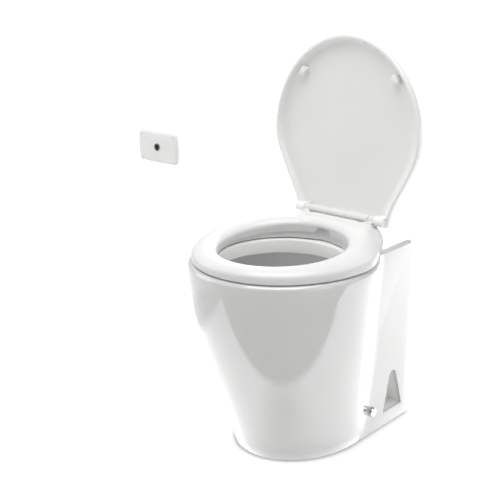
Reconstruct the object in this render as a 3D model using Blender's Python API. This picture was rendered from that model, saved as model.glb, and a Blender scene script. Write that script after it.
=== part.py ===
"""Electric marine toilet: glazed bowl and pedestal, seat, lid, macerator pump, rinse valve, panel.

Metres, +Z up. The origin is on the floor, on the centre plane, in the middle of the rear strip.
+Y points at the bulkhead behind the toilet. Most places are given as a distance forward of that bulkhead.
The lid stands open against its stop and the seat lies on the rim.
"""

import math

import bmesh
import bpy
from mathutils import Matrix, Vector

# Fits shared by all pieces
CLEARANCE = 0.0003
MERGE_SHARE = 0.01
OVERRUN = 0.004
ARC_SHARE = 0.29
FINE_SIDES = 24
ROUND_SIDES = 16
SMALL_SIDES = 12

# Bowl and pedestal: outer form
RIM_HEIGHT = 0.389
BLOCK_HALF_WIDTH = 0.128
FOOT_CENTRE = 0.199
FOOT_NOSE = 0.156
BOWL_HALF_WIDTH = 0.1865
BOWL_CENTRE = 0.2567
BOWL_NOSE = 0.190
CREASE_AT_FOOT = 0.165
CREASE_AT_RIM = 0.122
CREASE_BLEND = 0.020
CREASE_BLEND_SHARE = 0.6
SWELL_FALL = 1.75
SWELL_RISE = 1.15
RIM_EDGE_RADIUS = 0.009
FOOT_EDGE = 0.0018
BLOCK_CORNER_RADIUS = 0.007
SECTION_HEIGHT_SHARES = (0.06, 0.13, 0.21, 0.30, 0.40, 0.51, 0.62, 0.73, 0.83, 0.91)
CREASE_SIDE_SHARES = (-0.35, -0.18, -0.04, 0.08, 0.2, 0.36, 0.56, 0.78)
NOSE_STEPS = 14

# Bowl and pedestal: walls and inside
SHELL_WALL = 0.012
DECK_WALL = 0.012
BOWL_WALL = 0.009
RIM_HOLE_HALF_WIDTH = 0.124
RIM_HOLE_CENTRE = 0.268
RIM_HOLE_LENGTH = 0.122
RIM_SKIRT = 0.029
RIM_SKIRT_WALL = 0.009
RIM_TOP_WALL = 0.013
CHANNEL_HALF_WIDTH = 0.160
CHANNEL_LENGTH = 0.155
CHANNEL_DROP = 0.012
CHANNEL_TOP_INSET = 0.003
SKIRT_ROUND_SHARE = 0.25
SKIRT_SPLAY_SHARE = 1.2
SUMP_RADIUS = 0.034
OUTLET_BORE = 0.018
SPIGOT_RADIUS = 0.023
SPIGOT_LENGTH = 0.022
SPIGOT_SHOULDER = 0.0045
BOWL_FALL_SHARES = (0.0, 0.14, 0.30, 0.47, 0.63, 0.77, 0.88, 0.96)
BOWL_FULLNESS = 2.3
BOWL_TAPER = 0.85
RIM_MASS_DROP = 0.044
RIM_MASS_HALF_WIDTH = 0.205
RIM_MASS_WALL = 0.020
OVAL_STEPS = 40
SPUD_HOLE_RADIUS = 0.0072
SPUD_DROP = 0.026

# Bowl and pedestal: side recesses, fixing holes, rear opening
RECESS_FLOOR = 0.030
RECESS_REAR = 0.028
RECESS_FRONT = 0.094
RECESS_TOP_CENTRE = 0.0625
RECESS_TOP_HEIGHT = 0.104
RECESS_TOP_RADIUS = 0.013
RECESS_CORNER = 0.005
RECESS_ARC_SHARE = 0.06
RECESS_ARC_STEPS = 6
RECESS_DEPTH = 0.031
RECESS_WALL = 0.008
FLOOR_HOLE_RADIUS = 0.004
FLOOR_HOLE_DISTANCE = 0.084
FLOOR_HOLE_INSET = 0.012
FIXING_DISTANCE = 0.136
FIXING_HEIGHT = 0.049
FIXING_HOLE_RADIUS = 0.0042
REAR_OPENING_HALF_WIDTH = 0.088
REAR_OPENING_BOTTOM = 0.030
REAR_OPENING_DROP = 0.064
REAR_OPENING_CORNER = 0.030

# Seat and lid: shared outline, measured forward of the hinge axis
HINGE_DISTANCE = 0.082
HINGE_RISE = 0.048
COVER_HALF_WIDTH = 0.182
COVER_WIDEST = 0.161
COVER_NOSE = 0.1975
NECK_HALF_WIDTH = 0.1135
NECK_BLEND = 0.35
COVER_NOSE_STEPS = 14
NECK_SHARES = (0.86, 0.70, 0.54, 0.38, 0.24, 0.12)
CORNER_CLEAR_SHARE = 1.2
CORNER_END_SHARE = 1.1

# Seat
SEAT_GAP = 0.003
SEAT_THICKNESS = 0.0190
SEAT_CROWN = 0.0015
SEAT_REAR = 0.007
SEAT_CORNER = 0.020
SEAT_HOLE_HALF_WIDTH = 0.125
SEAT_HOLE_CENTRE = 0.264
SEAT_HOLE_LENGTH = 0.126
SEAT_OUTER_ROUND = 0.009
SEAT_INNER_ROUND = 0.008
SEAT_EDGE_ROUND = 0.0025
SEAT_RIB_WIDTH = 0.012
SEAT_INNER_RIB_WIDTH = 0.006
SEAT_CHANNEL_DEPTH = 0.010
SEAT_CHANNEL_SLOPE = 0.003
NOTCH_HALF_WIDTH = 0.0145
NOTCH_DEPTH = 0.012
NOTCH_SKIN = 0.003
LUG_WIDTH = 0.0138
RAMP_RUN = 0.030
RAMP_BELOW_AXIS = 0.0025

# Hinge
BAR_RADIUS = 0.009
BAR_HALF_LENGTH = 0.0735
HINGE_SIDE_GAP = 0.0006
POST_SPACING = 0.130
POST_WIDTH = 0.016
POST_REAR = 0.068
POST_FRONT = 0.0945
POST_NECK_FRONT = 0.0855
POST_NECK_TOP = 0.018
POST_NECK_BOTTOM = 0.027
POST_FOOT_RISE = 0.018
POST_TOP_SHARE = 0.8
POST_TO_SEAT = 0.0012
STUD_RADIUS = 0.005
STUD_DISTANCE = 0.082
STUD_INSERTION = 0.019
STUD_LENGTH = 0.068
DECK_HOLE_RADIUS = 0.0065
PIN_RADIUS = 0.003
PIN_LENGTH = 0.046
PIN_BORE_GAP = 0.0003
WASHER_RADIUS = 0.013
WASHER_THICKNESS = 0.002
NUT_HUB_RADIUS = 0.008
NUT_HEIGHT = 0.009
NUT_WING_SPAN = 0.018
NUT_WING_THICKNESS = 0.003
NUT_WING_DROP = 0.004

# Lid
LID_OPEN_ANGLE = math.radians(97)
LID_GAP = 0.003
LID_INSET = 0.003
LID_THICKNESS = 0.020
LID_REAR_RISE = 0.0265
LID_RISE_POWER = 1.3
LID_TAIL = 0.0115
LID_TAIL_CORNER = 0.005
LID_RIM_FLAT = 0.0040
LID_WALL = 0.008
LID_SKIN = 0.004
LID_CROWN = 0.006
LID_EDGE_ROUND = 0.008
LID_PANEL_INSET = 0.016
LID_RIM_CHAMFER = 0.0018
LID_CROWN_INSET = 0.032
LID_CENTRE_INSET = 0.080
LID_FLOOR_CROWN_SHARES = (0.5, 0.15, -0.1)
LID_WALL_INSET_SHARE = 0.4
LID_WALL_DROP_SHARES = (0.22, 0.72)
LID_TOP_CROWN_SHARE = 0.6
EAR_RADIUS = 0.0095
EAR_OUTER = 0.111
BAR_ROOM_AHEAD = 0.016
BAR_ROOM_ABOVE = 0.012
SLOT_MARGIN = 0.0015
SLOT_AHEAD = 0.003

# Pads under the seat and in the lid
PAD_LENGTH = 0.020
PAD_WIDTH = 0.012
PAD_ROUND = 0.004
PAD_TAPER = 0.0012
SEAT_PAD_SHARE = 0.52
SEAT_PAD_FRONT_ANGLE = math.radians(38)
SEAT_PAD_REAR_ANGLE = math.radians(128)
LID_PAD_HALF_SPACING = 0.113
LID_PAD_REACH = 0.280
LID_PAD_TURN = math.radians(55)

# Side fixings
BRACKET_THICKNESS = 0.003
BRACKET_WIDTH = 0.024
BRACKET_HEIGHT = 0.072
BRACKET_FOOT = 0.036
BRACKET_HOLE_RADIUS = 0.0035
BRACKET_HOLE_INSET = 0.016
SIDE_SCREW_RADIUS = 0.003
SIDE_SCREW_LENGTH = 0.020
SIDE_SCREW_HEAD_RADIUS = 0.006
SIDE_SCREW_HEAD_HEIGHT = 0.003
SCREW_HEAD_SHARE = 0.6
CAP_RADIUS = 0.010
CAP_HEIGHT = 0.0062
CAP_WALL = 0.0012
CAP_ROUND = 0.0025
CAP_CROWN = 0.0006

# Pump
PUMP_HEIGHT = 0.103
COVER_SPIGOT_LENGTH = 0.022
COVER_FLANGE_FRONT = 0.168
COVER_FLANGE_THICKNESS = 0.004
COVER_SPIGOT_BORE = 0.019
PUMP_FLANGE_RADIUS = 0.052
PUMP_FLANGE_THICKNESS = 0.005
PUMP_RADIUS = 0.046
PUMP_WALL = 0.004
PUMP_DEPTH = 0.036
GASKET_INNER_RADIUS = 0.0425
GASKET_OUTER_RADIUS = 0.0448
GASKET_THICKNESS = 0.0012
PUMP_SCREW_CIRCLE = 0.0485
PUMP_SCREW_RADIUS = 0.0018
PUMP_SCREW_HEAD_RADIUS = 0.0033
PUMP_SCREW_HEAD_HEIGHT = 0.0025
PUMP_SCREW_COUNT = 3
SHAFT_RADIUS = 0.004
SHAFT_AHEAD_OF_FLANGE = 0.010
SHAFT_BEHIND_MOTOR = 0.012
SEAL_OUTER_RADIUS = 0.010
SEAL_THICKNESS = 0.005
IMPELLER_RADIUS = 0.035
IMPELLER_BACK = 0.0030
IMPELLER_REAR_GAP = 0.0060
IMPELLER_VANE_HEIGHT = 0.009
IMPELLER_VANE_THICKNESS = 0.003
IMPELLER_VANE_COUNT = 6
IMPELLER_HUB_RADIUS = 0.009
IMPELLER_ROOT_SHARE = 0.85
IMPELLER_TIP_SHARE = 0.97
IMPELLER_SWEEP = math.radians(29)
BLADE_RADIUS = 0.030
BLADE_THICKNESS = 0.003
BLADE_TEETH = 4
BLADE_TOOTH_WIDTH = 0.010
BLADE_HUB_RADIUS = 0.010
BLADE_TO_IMPELLER = 0.003
MOTOR_RADIUS = 0.036
MOTOR_WALL = 0.0025
MOTOR_LENGTH = 0.090
END_CAP_LENGTH = 0.016
END_CAP_ROUND = 0.004
END_CAP_BOSS_RADIUS = 0.0088
GLAND_RADIUS = 0.007
GLAND_LENGTH = 0.007
GLAND_BORE = 0.0032
GLAND_OFFSET = 0.020
ARMATURE_RADIUS = 0.026
ARMATURE_SETBACK = 0.018
ARMATURE_LENGTH = 0.056
DISCHARGE_OFFSET = 0.027
DISCHARGE_RADIUS = 0.014
DISCHARGE_BORE = 0.0105
SPOUT_RISE = 0.066
SPOUT_AHEAD = 0.0168

# Hoses
ELBOW_WALL = 0.0035
ELBOW_BEND = 0.038
ELBOW_STEPS = 7
ELBOW_DROP = 0.016
ELBOW_RUN = 0.004
ELBOW_GRIP = 0.016
CLAMP_WIDTH = 0.009
CLAMP_THICKNESS = 0.001
CLAMP_SCREW_LENGTH = 0.014
CLAMP_SCREW_HEIGHT = 0.007
DISCHARGE_WALL = 0.0025
DISCHARGE_BEND = 0.024
DISCHARGE_GRIP = 0.013
DISCHARGE_RISE = 0.003
DISCHARGE_REAR = 0.014
DISCHARGE_RIB_PITCH = 0.007
DISCHARGE_RIB_COUNT = 3
DISCHARGE_RIB = 0.0015
CHECK_VALVE_FLANGE = 0.0025
CHECK_VALVE_LENGTH = 0.012
CHECK_VALVE_LIP_OUTER = 0.0035
CHECK_VALVE_LIP_INNER = 0.0013
CHECK_VALVE_THROAT = 0.0084

# Pump bracket
FOOT_PAD_RADIUS = 0.009
FOOT_PAD_HEIGHT = 0.006
BASE_THICKNESS = 0.0025
BASE_HALF_WIDTH = 0.050
BASE_BEHIND_MOTOR = 0.006
BASE_AHEAD = 0.022
PAD_INSET = 0.012
SADDLE_THICKNESS = 0.003
SADDLE_HALF_WIDTH = 0.030
SADDLE_PLACES = (0.022, 0.068)
SADDLE_STEPS = 8
STRAP_THICKNESS = 0.0015
STRAP_WIDTH = 0.014
STRAP_PLACE = 0.045
STRAP_STEPS = 12
STRAP_FOOT = 0.010
ARM_X = 0.060
ARM_REAR = 0.034
ARM_FRONT = 0.066
ARM_TOP = 0.250

# Rinse water
VALVE_RADIUS = 0.013
VALVE_LENGTH = 0.034
VALVE_BELOW_ARM = 0.004
VALVE_DISTANCE = 0.050
VALVE_TAIL_RADIUS = 0.006
VALVE_TAIL_BORE = 0.004
VALVE_TAIL_LENGTH = 0.022
VALVE_INLET_RADIUS = 0.0085
VALVE_INLET_BORE = 0.006
VALVE_INLET_REAR = 0.015
COIL_RADIUS = 0.0125
COIL_LENGTH = 0.030
COIL_ROUND = 0.002
HOSE_WALL = 0.0018
HOSE_GRIP = 0.014
HOSE_STEPS = 14
HOSE_SPUD_PULL_SHARE = 0.34
HOSE_VALVE_PULL_SHARE = 0.69
SPUD_RADIUS = 0.0068
SPUD_BORE = 0.004
SPUD_FLANGE_RADIUS = 0.0115
SPUD_FLANGE_THICKNESS = 0.003
SPUD_TAIL_LENGTH = 0.018
SPUD_REACH = 0.018

# Control panel, standing on the bulkhead beside the toilet
PANEL_X = -0.620
PANEL_HEIGHT = 0.487
PANEL_HALF_WIDTH = 0.0645
PANEL_HALF_HEIGHT = 0.0385
PANEL_SIDE_BOW = 0.0040
PANEL_TOP_BOW = 0.0012
PANEL_CORNER = 0.007
PANEL_THICKNESS = 0.008
PANEL_EDGE = 0.0035
PANEL_BORDER = 0.0075
PANEL_CORNER_SHARE = 0.5
PANEL_SIDE_SHARES = (0.5, 0, -0.5)
PANEL_STEP_SHARES = ((0, 0.45), (0.4, 0.75), (1, 0.9))
PANEL_SCREW_HALF_X = 0.0555
PANEL_SCREW_HALF_Z = 0.0300
PANEL_CAP_RADIUS = 0.0036
PANEL_CAP_RISE = 0.0007
PANEL_CAP_SEAT = 0.0025
PANEL_CAP_FLAT_SHARE = 0.75
PANEL_CAP_EDGE_SHARE = 0.8
PANEL_SCREW_HOLE = 0.0018
BEZEL_RADIUS = 0.0100
BEZEL_RISE = 0.0014
BEZEL_FLANK_SHARE = 0.6
BEZEL_SLEEVE_RADIUS = 0.0090
BEZEL_BORE = 0.0083
BEZEL_DEPTH = 0.012
BUTTON_RADIUS = 0.0080
BUTTON_RISE = 0.0026
BUTTON_DOME = 0.0020
BUTTON_DOME_SHARES = ((0.92, 0.45), (0.7, 0.8), (0.38, 0.96))
BUTTON_DEPTH = 0.004
BUTTON_STEM_RADIUS = 0.004
BUTTON_STEM_LENGTH = 0.006
BUTTON_TRAVEL = 0.002
SWITCH_RADIUS = 0.013
SWITCH_DEPTH = 0.034

# Places worked out from the sizes above
BULKHEAD_Y = SHELL_WALL / 2
SEAT_BOTTOM = RIM_HEIGHT + SEAT_GAP
SEAT_TOP = SEAT_BOTTOM + SEAT_THICKNESS
HINGE_Y = BULKHEAD_Y - HINGE_DISTANCE
HINGE_HEIGHT = RIM_HEIGHT + HINGE_RISE
LUG_INNER = BAR_HALF_LENGTH + HINGE_SIDE_GAP
LUG_OUTER = LUG_INNER + LUG_WIDTH
KNUCKLE_INNER = LUG_OUTER + HINGE_SIDE_GAP
COVER_SPIGOT_TIP = COVER_FLANGE_FRONT + COVER_SPIGOT_LENGTH
OUTLET_DISTANCE = COVER_SPIGOT_TIP + ELBOW_BEND + ELBOW_RUN
SPIGOT_TIP_HEIGHT = PUMP_HEIGHT + ELBOW_BEND + ELBOW_DROP
BOWL_FLOOR = SPIGOT_TIP_HEIGHT + SPIGOT_LENGTH + BOWL_WALL
BOWL_TOP = RIM_HEIGHT - RIM_SKIRT - CHANNEL_DROP
BOWL_DEPTH = BOWL_TOP - BOWL_FLOOR
RIM_MASS_HEIGHT = RIM_HEIGHT - RIM_MASS_DROP
RIM_MASS_LENGTH = CHANNEL_LENGTH + RIM_MASS_WALL
SPUD_HEIGHT = RIM_HEIGHT - SPUD_DROP
REAR_OPENING_TOP = RIM_HEIGHT - REAR_OPENING_DROP
ELBOW_RADIUS = SPIGOT_RADIUS + CLEARANCE + ELBOW_WALL
HOUSING_FRONT = COVER_FLANGE_FRONT - COVER_FLANGE_THICKNESS - GASKET_THICKNESS - 2 * CLEARANCE
HOUSING_REAR = HOUSING_FRONT - PUMP_DEPTH
MOTOR_FRONT = HOUSING_REAR - CLEARANCE
MOTOR_REAR = MOTOR_FRONT - MOTOR_LENGTH
SHAFT_FRONT = COVER_FLANGE_FRONT + SHAFT_AHEAD_OF_FLANGE
SHAFT_REAR = MOTOR_REAR - SHAFT_BEHIND_MOTOR
ARMATURE_FRONT = MOTOR_FRONT - ARMATURE_SETBACK
ARMATURE_REAR = ARMATURE_FRONT - ARMATURE_LENGTH
SPOUT_DISTANCE = HOUSING_REAR + SPOUT_AHEAD
SPOUT_TOP = PUMP_HEIGHT + SPOUT_RISE
BASE_BOTTOM = FOOT_PAD_HEIGHT + CLEARANCE
BASE_TOP = BASE_BOTTOM + BASE_THICKNESS
BASE_REAR = MOTOR_REAR - BASE_BEHIND_MOTOR
BASE_FRONT = HOUSING_REAR + BASE_AHEAD
STRAP_DISTANCE = MOTOR_REAR + STRAP_PLACE
VALVE_TOP = ARM_TOP - VALVE_BELOW_ARM
VALVE_BOTTOM = VALVE_TOP - VALVE_LENGTH


def at(x, distance, z):
    """A point at x, a distance forward of the bulkhead, and a height."""
    return Vector((x, BULKHEAD_Y - distance, z))


def between(start, end, share):
    return start + (end - start) * share


def clear_scene():
    for old in list(bpy.data.objects):
        bpy.data.objects.remove(old, do_unlink=True)


def material(name, colour, roughness, metallic=0.0, coat=0.0):
    made = bpy.data.materials.new(name)
    made.use_nodes = True
    shader = made.node_tree.nodes["Principled BSDF"]
    shader.inputs["Base Color"].default_value = (*colour, 1)
    shader.inputs["Roughness"].default_value = roughness
    shader.inputs["Metallic"].default_value = metallic
    shader.inputs["Coat Weight"].default_value = coat
    return made


def finish(name, bm, look):
    """Makes an object of a bmesh, with its faces out and its round sides smooth."""
    bmesh.ops.recalc_face_normals(bm, faces=bm.faces)
    if bm.calc_volume(signed=True) < 0:
        bmesh.ops.reverse_faces(bm, faces=bm.faces)
    mesh = bpy.data.meshes.new(name)
    bm.to_mesh(mesh)
    bm.free()
    mesh.shade_smooth()
    mesh.set_sharp_from_angle(angle=math.radians(35))
    mesh.materials.append(look)
    made = bpy.data.objects.new(name, mesh)
    bpy.context.scene.collection.objects.link(made)
    return made


def loft(name, rings, look, closed=False):
    """A skin through rings of as many points each, capped at both ends or closed on itself."""
    bm = bmesh.new()
    rows = [[bm.verts.new(point) for point in ring] for ring in rings]
    pairs = list(zip(rows, rows[1:]))
    if closed:
        pairs.append((rows[-1], rows[0]))
    for lower, upper in pairs:
        for i, corner in enumerate(lower):
            j = (i + 1) % len(lower)
            bm.faces.new((corner, lower[j], upper[j], upper[i]))
    if not closed:
        bm.faces.new(rows[0])
        bm.faces.new(rows[-1])
    return finish(name, bm, look)


def extruded(name, outline, depth, look):
    """A flat outline of points, drawn out along a vector."""
    bm = bmesh.new()
    face = bm.faces.new([bm.verts.new(point) for point in outline])
    drawn = bmesh.ops.extrude_face_region(bm, geom=[face])
    moved = [item for item in drawn["geom"] if isinstance(item, bmesh.types.BMVert)]
    bmesh.ops.translate(bm, verts=moved, vec=depth)
    return finish(name, bm, look)


def turned(name, profile, centre, direction, sides, look):
    """A profile of (radius, along) pairs spun round a line through centre."""
    axis = Vector(direction).normalized()
    side = axis.orthogonal().normalized()
    bm = bmesh.new()
    points = [bm.verts.new(centre + side * radius + axis * along) for radius, along in profile]
    edges = [bm.edges.new(pair) for pair in zip(points, points[1:])]
    if profile[0][0] > 0:
        edges.append(bm.edges.new((points[-1], points[0])))
    bmesh.ops.spin(
        bm, geom=points + edges, cent=centre, axis=axis, angle=math.tau, steps=sides, use_merge=True
    )
    bmesh.ops.remove_doubles(bm, verts=bm.verts, dist=CLEARANCE * MERGE_SHARE)
    return finish(name, bm, look)


def rod(name, radius, start, end, sides, look):
    """A plain round bar between two points."""
    run = end - start
    profile = ((0, 0), (radius, 0), (radius, run.length), (0, run.length))
    return turned(name, profile, start, run, sides, look)


def block(name, low, high, look):
    """A box between two corners."""
    bm = bmesh.new()
    bmesh.ops.create_cube(bm, size=1)
    size = high - low
    bmesh.ops.scale(bm, verts=bm.verts, vec=[abs(side) for side in size])
    bmesh.ops.translate(bm, verts=bm.verts, vec=(low + high) / 2)
    return finish(name, bm, look)


def pipe(name, path, outer, inner, sides, look):
    """A hollow tube along a path: outer and inner hold one radius for each point of the path."""
    rings = []
    frame_side = None
    for i, point in enumerate(path):
        ahead = path[min(i + 1, len(path) - 1)] - path[max(i - 1, 0)]
        ahead.normalize()
        if frame_side is None:
            frame_side = ahead.orthogonal()
        frame_side = (frame_side - ahead * frame_side.dot(ahead)).normalized()
        across = ahead.cross(frame_side)
        turns = [math.tau * k / sides for k in range(sides)]
        rings.append([(point, frame_side * math.cos(turn) + across * math.sin(turn)) for turn in turns])
    outside = [[at_point + way * outer[i] for at_point, way in ring] for i, ring in enumerate(rings)]
    inside = [[at_point + way * inner[i] for at_point, way in ring] for i, ring in enumerate(rings)]
    return loft(name, outside + inside[::-1], look, closed=True)


def helper(made):
    """Marks a cutter or an added shape, which isn't a piece of its own."""
    made.hide_render = True
    made.display_type = "WIRE"
    return made


def combine(target, operation, others):
    for other in others:
        helper(other)
        step = target.modifiers.new(other.name, "BOOLEAN")
        step.operation = operation
        step.object = other
        step.solver = "EXACT"


def cut(target, *others):
    combine(target, "DIFFERENCE", others)


def join(target, *others):
    combine(target, "UNION", others)


def oval(half_width, front, rear, centre, z, steps=OVAL_STEPS):
    """A ring whose front and rear halves are half ellipses of their own length."""
    ring = []
    for i in range(steps):
        turn = math.tau * i / steps
        length = front if math.sin(turn) > 0 else rear
        ring.append(at(half_width * math.cos(turn), centre + length * math.sin(turn), z))
    return ring


def mirrored(half):
    """A whole ring from its +X half, which runs from the rear to the nose on the centre plane."""
    return half + [(-x, distance) for x, distance in half[-2::-1]]


def swell(z):
    """How far the outside has grown from the foot to the rim at a height, from 0 to 1."""
    share = min(max(z / RIM_HEIGHT, 0), 1)
    return (1 - (1 - share) ** SWELL_FALL) ** SWELL_RISE


def block_side(half_width, ellipse_side, blend):
    """The larger of the block's side and the bowl's, with a hollow fillet where they meet."""
    if blend <= 0:
        return max(half_width, ellipse_side)
    share = min(max(0.5 + 0.5 * (ellipse_side - half_width) / blend, 0), 1)
    return between(half_width, ellipse_side, share) + blend * share * (1 - share)


def outer_section(z, inset=0.0, level=None):
    """The pedestal's plan at a height, drawn in by inset: a square block with the round bowl ahead."""
    grown = swell(z)
    half_width = BLOCK_HALF_WIDTH - inset
    widest = between(BLOCK_HALF_WIDTH, BOWL_HALF_WIDTH, grown) - inset
    centre = between(FOOT_CENTRE, BOWL_CENTRE, grown)
    nose = between(FOOT_NOSE, BOWL_NOSE, grown) - inset
    crease = between(CREASE_AT_FOOT, CREASE_AT_RIM, z / RIM_HEIGHT)
    blend = min(CREASE_BLEND, CREASE_BLEND_SHARE * (widest - half_width))
    corner = max(BLOCK_CORNER_RADIUS - inset, FOOT_EDGE)
    half = []
    for turn in (0, math.pi / 4, math.pi / 2):
        half.append((half_width - corner * (1 - math.sin(turn)), inset + corner * (1 - math.cos(turn))))
    for share in CREASE_SIDE_SHARES:
        squared = widest**2 - (widest**2 - half_width**2) * (1 - share) ** 2
        side = math.sqrt(max(squared, 0))
        half.append((block_side(half_width, side, blend), between(crease, centre, share)))
    for i in range(NOSE_STEPS + 1):
        turn = math.pi / 2 * i / NOSE_STEPS
        half.append((widest * math.cos(turn), centre + nose * math.sin(turn)))
    half[-1] = (0, half[-1][1])
    height = z if level is None else level
    return [at(x, distance, height) for x, distance in mirrored(half)]


def edge_steps(radius, count):
    """(inset, drop) pairs round a quarter circle, from the side up to the top."""
    steps = []
    for i in range(count + 1):
        turn = math.pi / 2 * i / count
        steps.append((radius * (1 - math.cos(turn)), radius * (1 - math.sin(turn))))
    return steps


def bowl_rings(grow):
    """The basin's rings from under the rim down to its sump, grown outwards by a wall."""
    rings = []
    for share in BOWL_FALL_SHARES:
        width_share = (1 - share**BOWL_FULLNESS) ** BOWL_TAPER
        half_width = between(SUMP_RADIUS, CHANNEL_HALF_WIDTH, width_share) + grow
        length = between(SUMP_RADIUS, CHANNEL_LENGTH, width_share) + grow
        centre = between(OUTLET_DISTANCE, RIM_HOLE_CENTRE, width_share)
        height = BOWL_TOP - (BOWL_DEPTH + grow) * share
        rings.append(oval(half_width, length, length, centre, height))
    return rings


def bowl_inside():
    """The space inside the rim and the basin, down through the outlet."""
    skirt_bottom = RIM_HEIGHT - RIM_SKIRT
    channel_top = RIM_HEIGHT - RIM_TOP_WALL
    hole = (RIM_HOLE_HALF_WIDTH, RIM_HOLE_LENGTH)
    edge = RIM_EDGE_RADIUS / 2
    rings = [oval(hole[0] + edge, hole[1] + edge, hole[1] + edge, RIM_HOLE_CENTRE, RIM_HEIGHT + OVERRUN)]
    for grow, drop in ((edge, 0), (edge * ARC_SHARE, edge * ARC_SHARE), (0, edge)):
        length = hole[1] + grow
        rings.append(oval(hole[0] + grow, length, length, RIM_HOLE_CENTRE, RIM_HEIGHT - drop))
    skirt_round = RIM_SKIRT_WALL * SKIRT_ROUND_SHARE
    for grow, height in (
        (0, skirt_bottom + skirt_round),
        (skirt_round, skirt_bottom),
        (RIM_SKIRT_WALL - skirt_round, skirt_bottom),
        (RIM_SKIRT_WALL, skirt_bottom + skirt_round),
        (RIM_SKIRT_WALL * SKIRT_SPLAY_SHARE, channel_top),
    ):
        length = hole[1] + grow
        rings.append(oval(hole[0] + grow, length, length, RIM_HOLE_CENTRE, height))
    outer = CHANNEL_HALF_WIDTH - CHANNEL_TOP_INSET
    length = CHANNEL_LENGTH - CHANNEL_TOP_INSET
    rings.append(oval(outer, length, length, RIM_HOLE_CENTRE, channel_top))
    rings += bowl_rings(0)
    bore_top = BOWL_FLOOR - BOWL_WALL
    for height in (bore_top, SPIGOT_TIP_HEIGHT - OVERRUN):
        rings.append(oval(OUTLET_BORE, OUTLET_BORE, OUTLET_BORE, OUTLET_DISTANCE, height))
    return rings


def bowl_outside():
    """What the hollow pedestal leaves solid: the rim, the basin's wall and its spigot."""
    mass = (RIM_MASS_HALF_WIDTH, RIM_MASS_LENGTH, RIM_MASS_LENGTH, RIM_HOLE_CENTRE)
    rings = [oval(*mass, RIM_HEIGHT + OVERRUN), oval(*mass, RIM_MASS_HEIGHT + OVERRUN)]
    rings += bowl_rings(BOWL_WALL)[1:]
    foot = SPIGOT_RADIUS + SPIGOT_SHOULDER
    underside = BOWL_FLOOR - BOWL_WALL
    rings.append(oval(foot, foot, foot, OUTLET_DISTANCE, underside))
    for height in (underside - SPIGOT_SHOULDER, SPIGOT_TIP_HEIGHT):
        rings.append(oval(SPIGOT_RADIUS, SPIGOT_RADIUS, SPIGOT_RADIUS, OUTLET_DISTANCE, height))
    return rings


def recess_outline(x, grow, floor):
    """The arched side recess on the plane at x, grown outwards, with its floor at a height."""
    radius = RECESS_TOP_RADIUS + grow
    points = [at(x, RECESS_FRONT + grow, floor), at(x, RECESS_REAR - grow, floor)]
    points.append(at(x, RECESS_REAR - grow, RECESS_FLOOR + RECESS_CORNER))
    for i in range(RECESS_ARC_STEPS + 1):
        turn = math.pi * between(RECESS_ARC_SHARE, 1 - RECESS_ARC_SHARE, i / RECESS_ARC_STEPS)
        distance = RECESS_TOP_CENTRE - radius * math.cos(turn)
        points.append(at(x, distance, RECESS_TOP_HEIGHT + radius * math.sin(turn)))
    points.append(at(x, RECESS_FRONT + grow, RECESS_FLOOR + RECESS_CORNER))
    return points


def rounded_door(distance, half_width, bottom, top, corner):
    """A door with rounded corners in a plane facing the bulkhead."""
    points = []
    for cx, cz, start in (
        (half_width - corner, top - corner, 0),
        (corner - half_width, top - corner, 1),
        (corner - half_width, bottom + corner, 2),
        (half_width - corner, bottom + corner, 3),
    ):
        for i in range(4):
            turn = math.pi / 2 * (start + i / 3)
            points.append(at(cx + corner * math.cos(turn), distance, cz + corner * math.sin(turn)))
    return points


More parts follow.
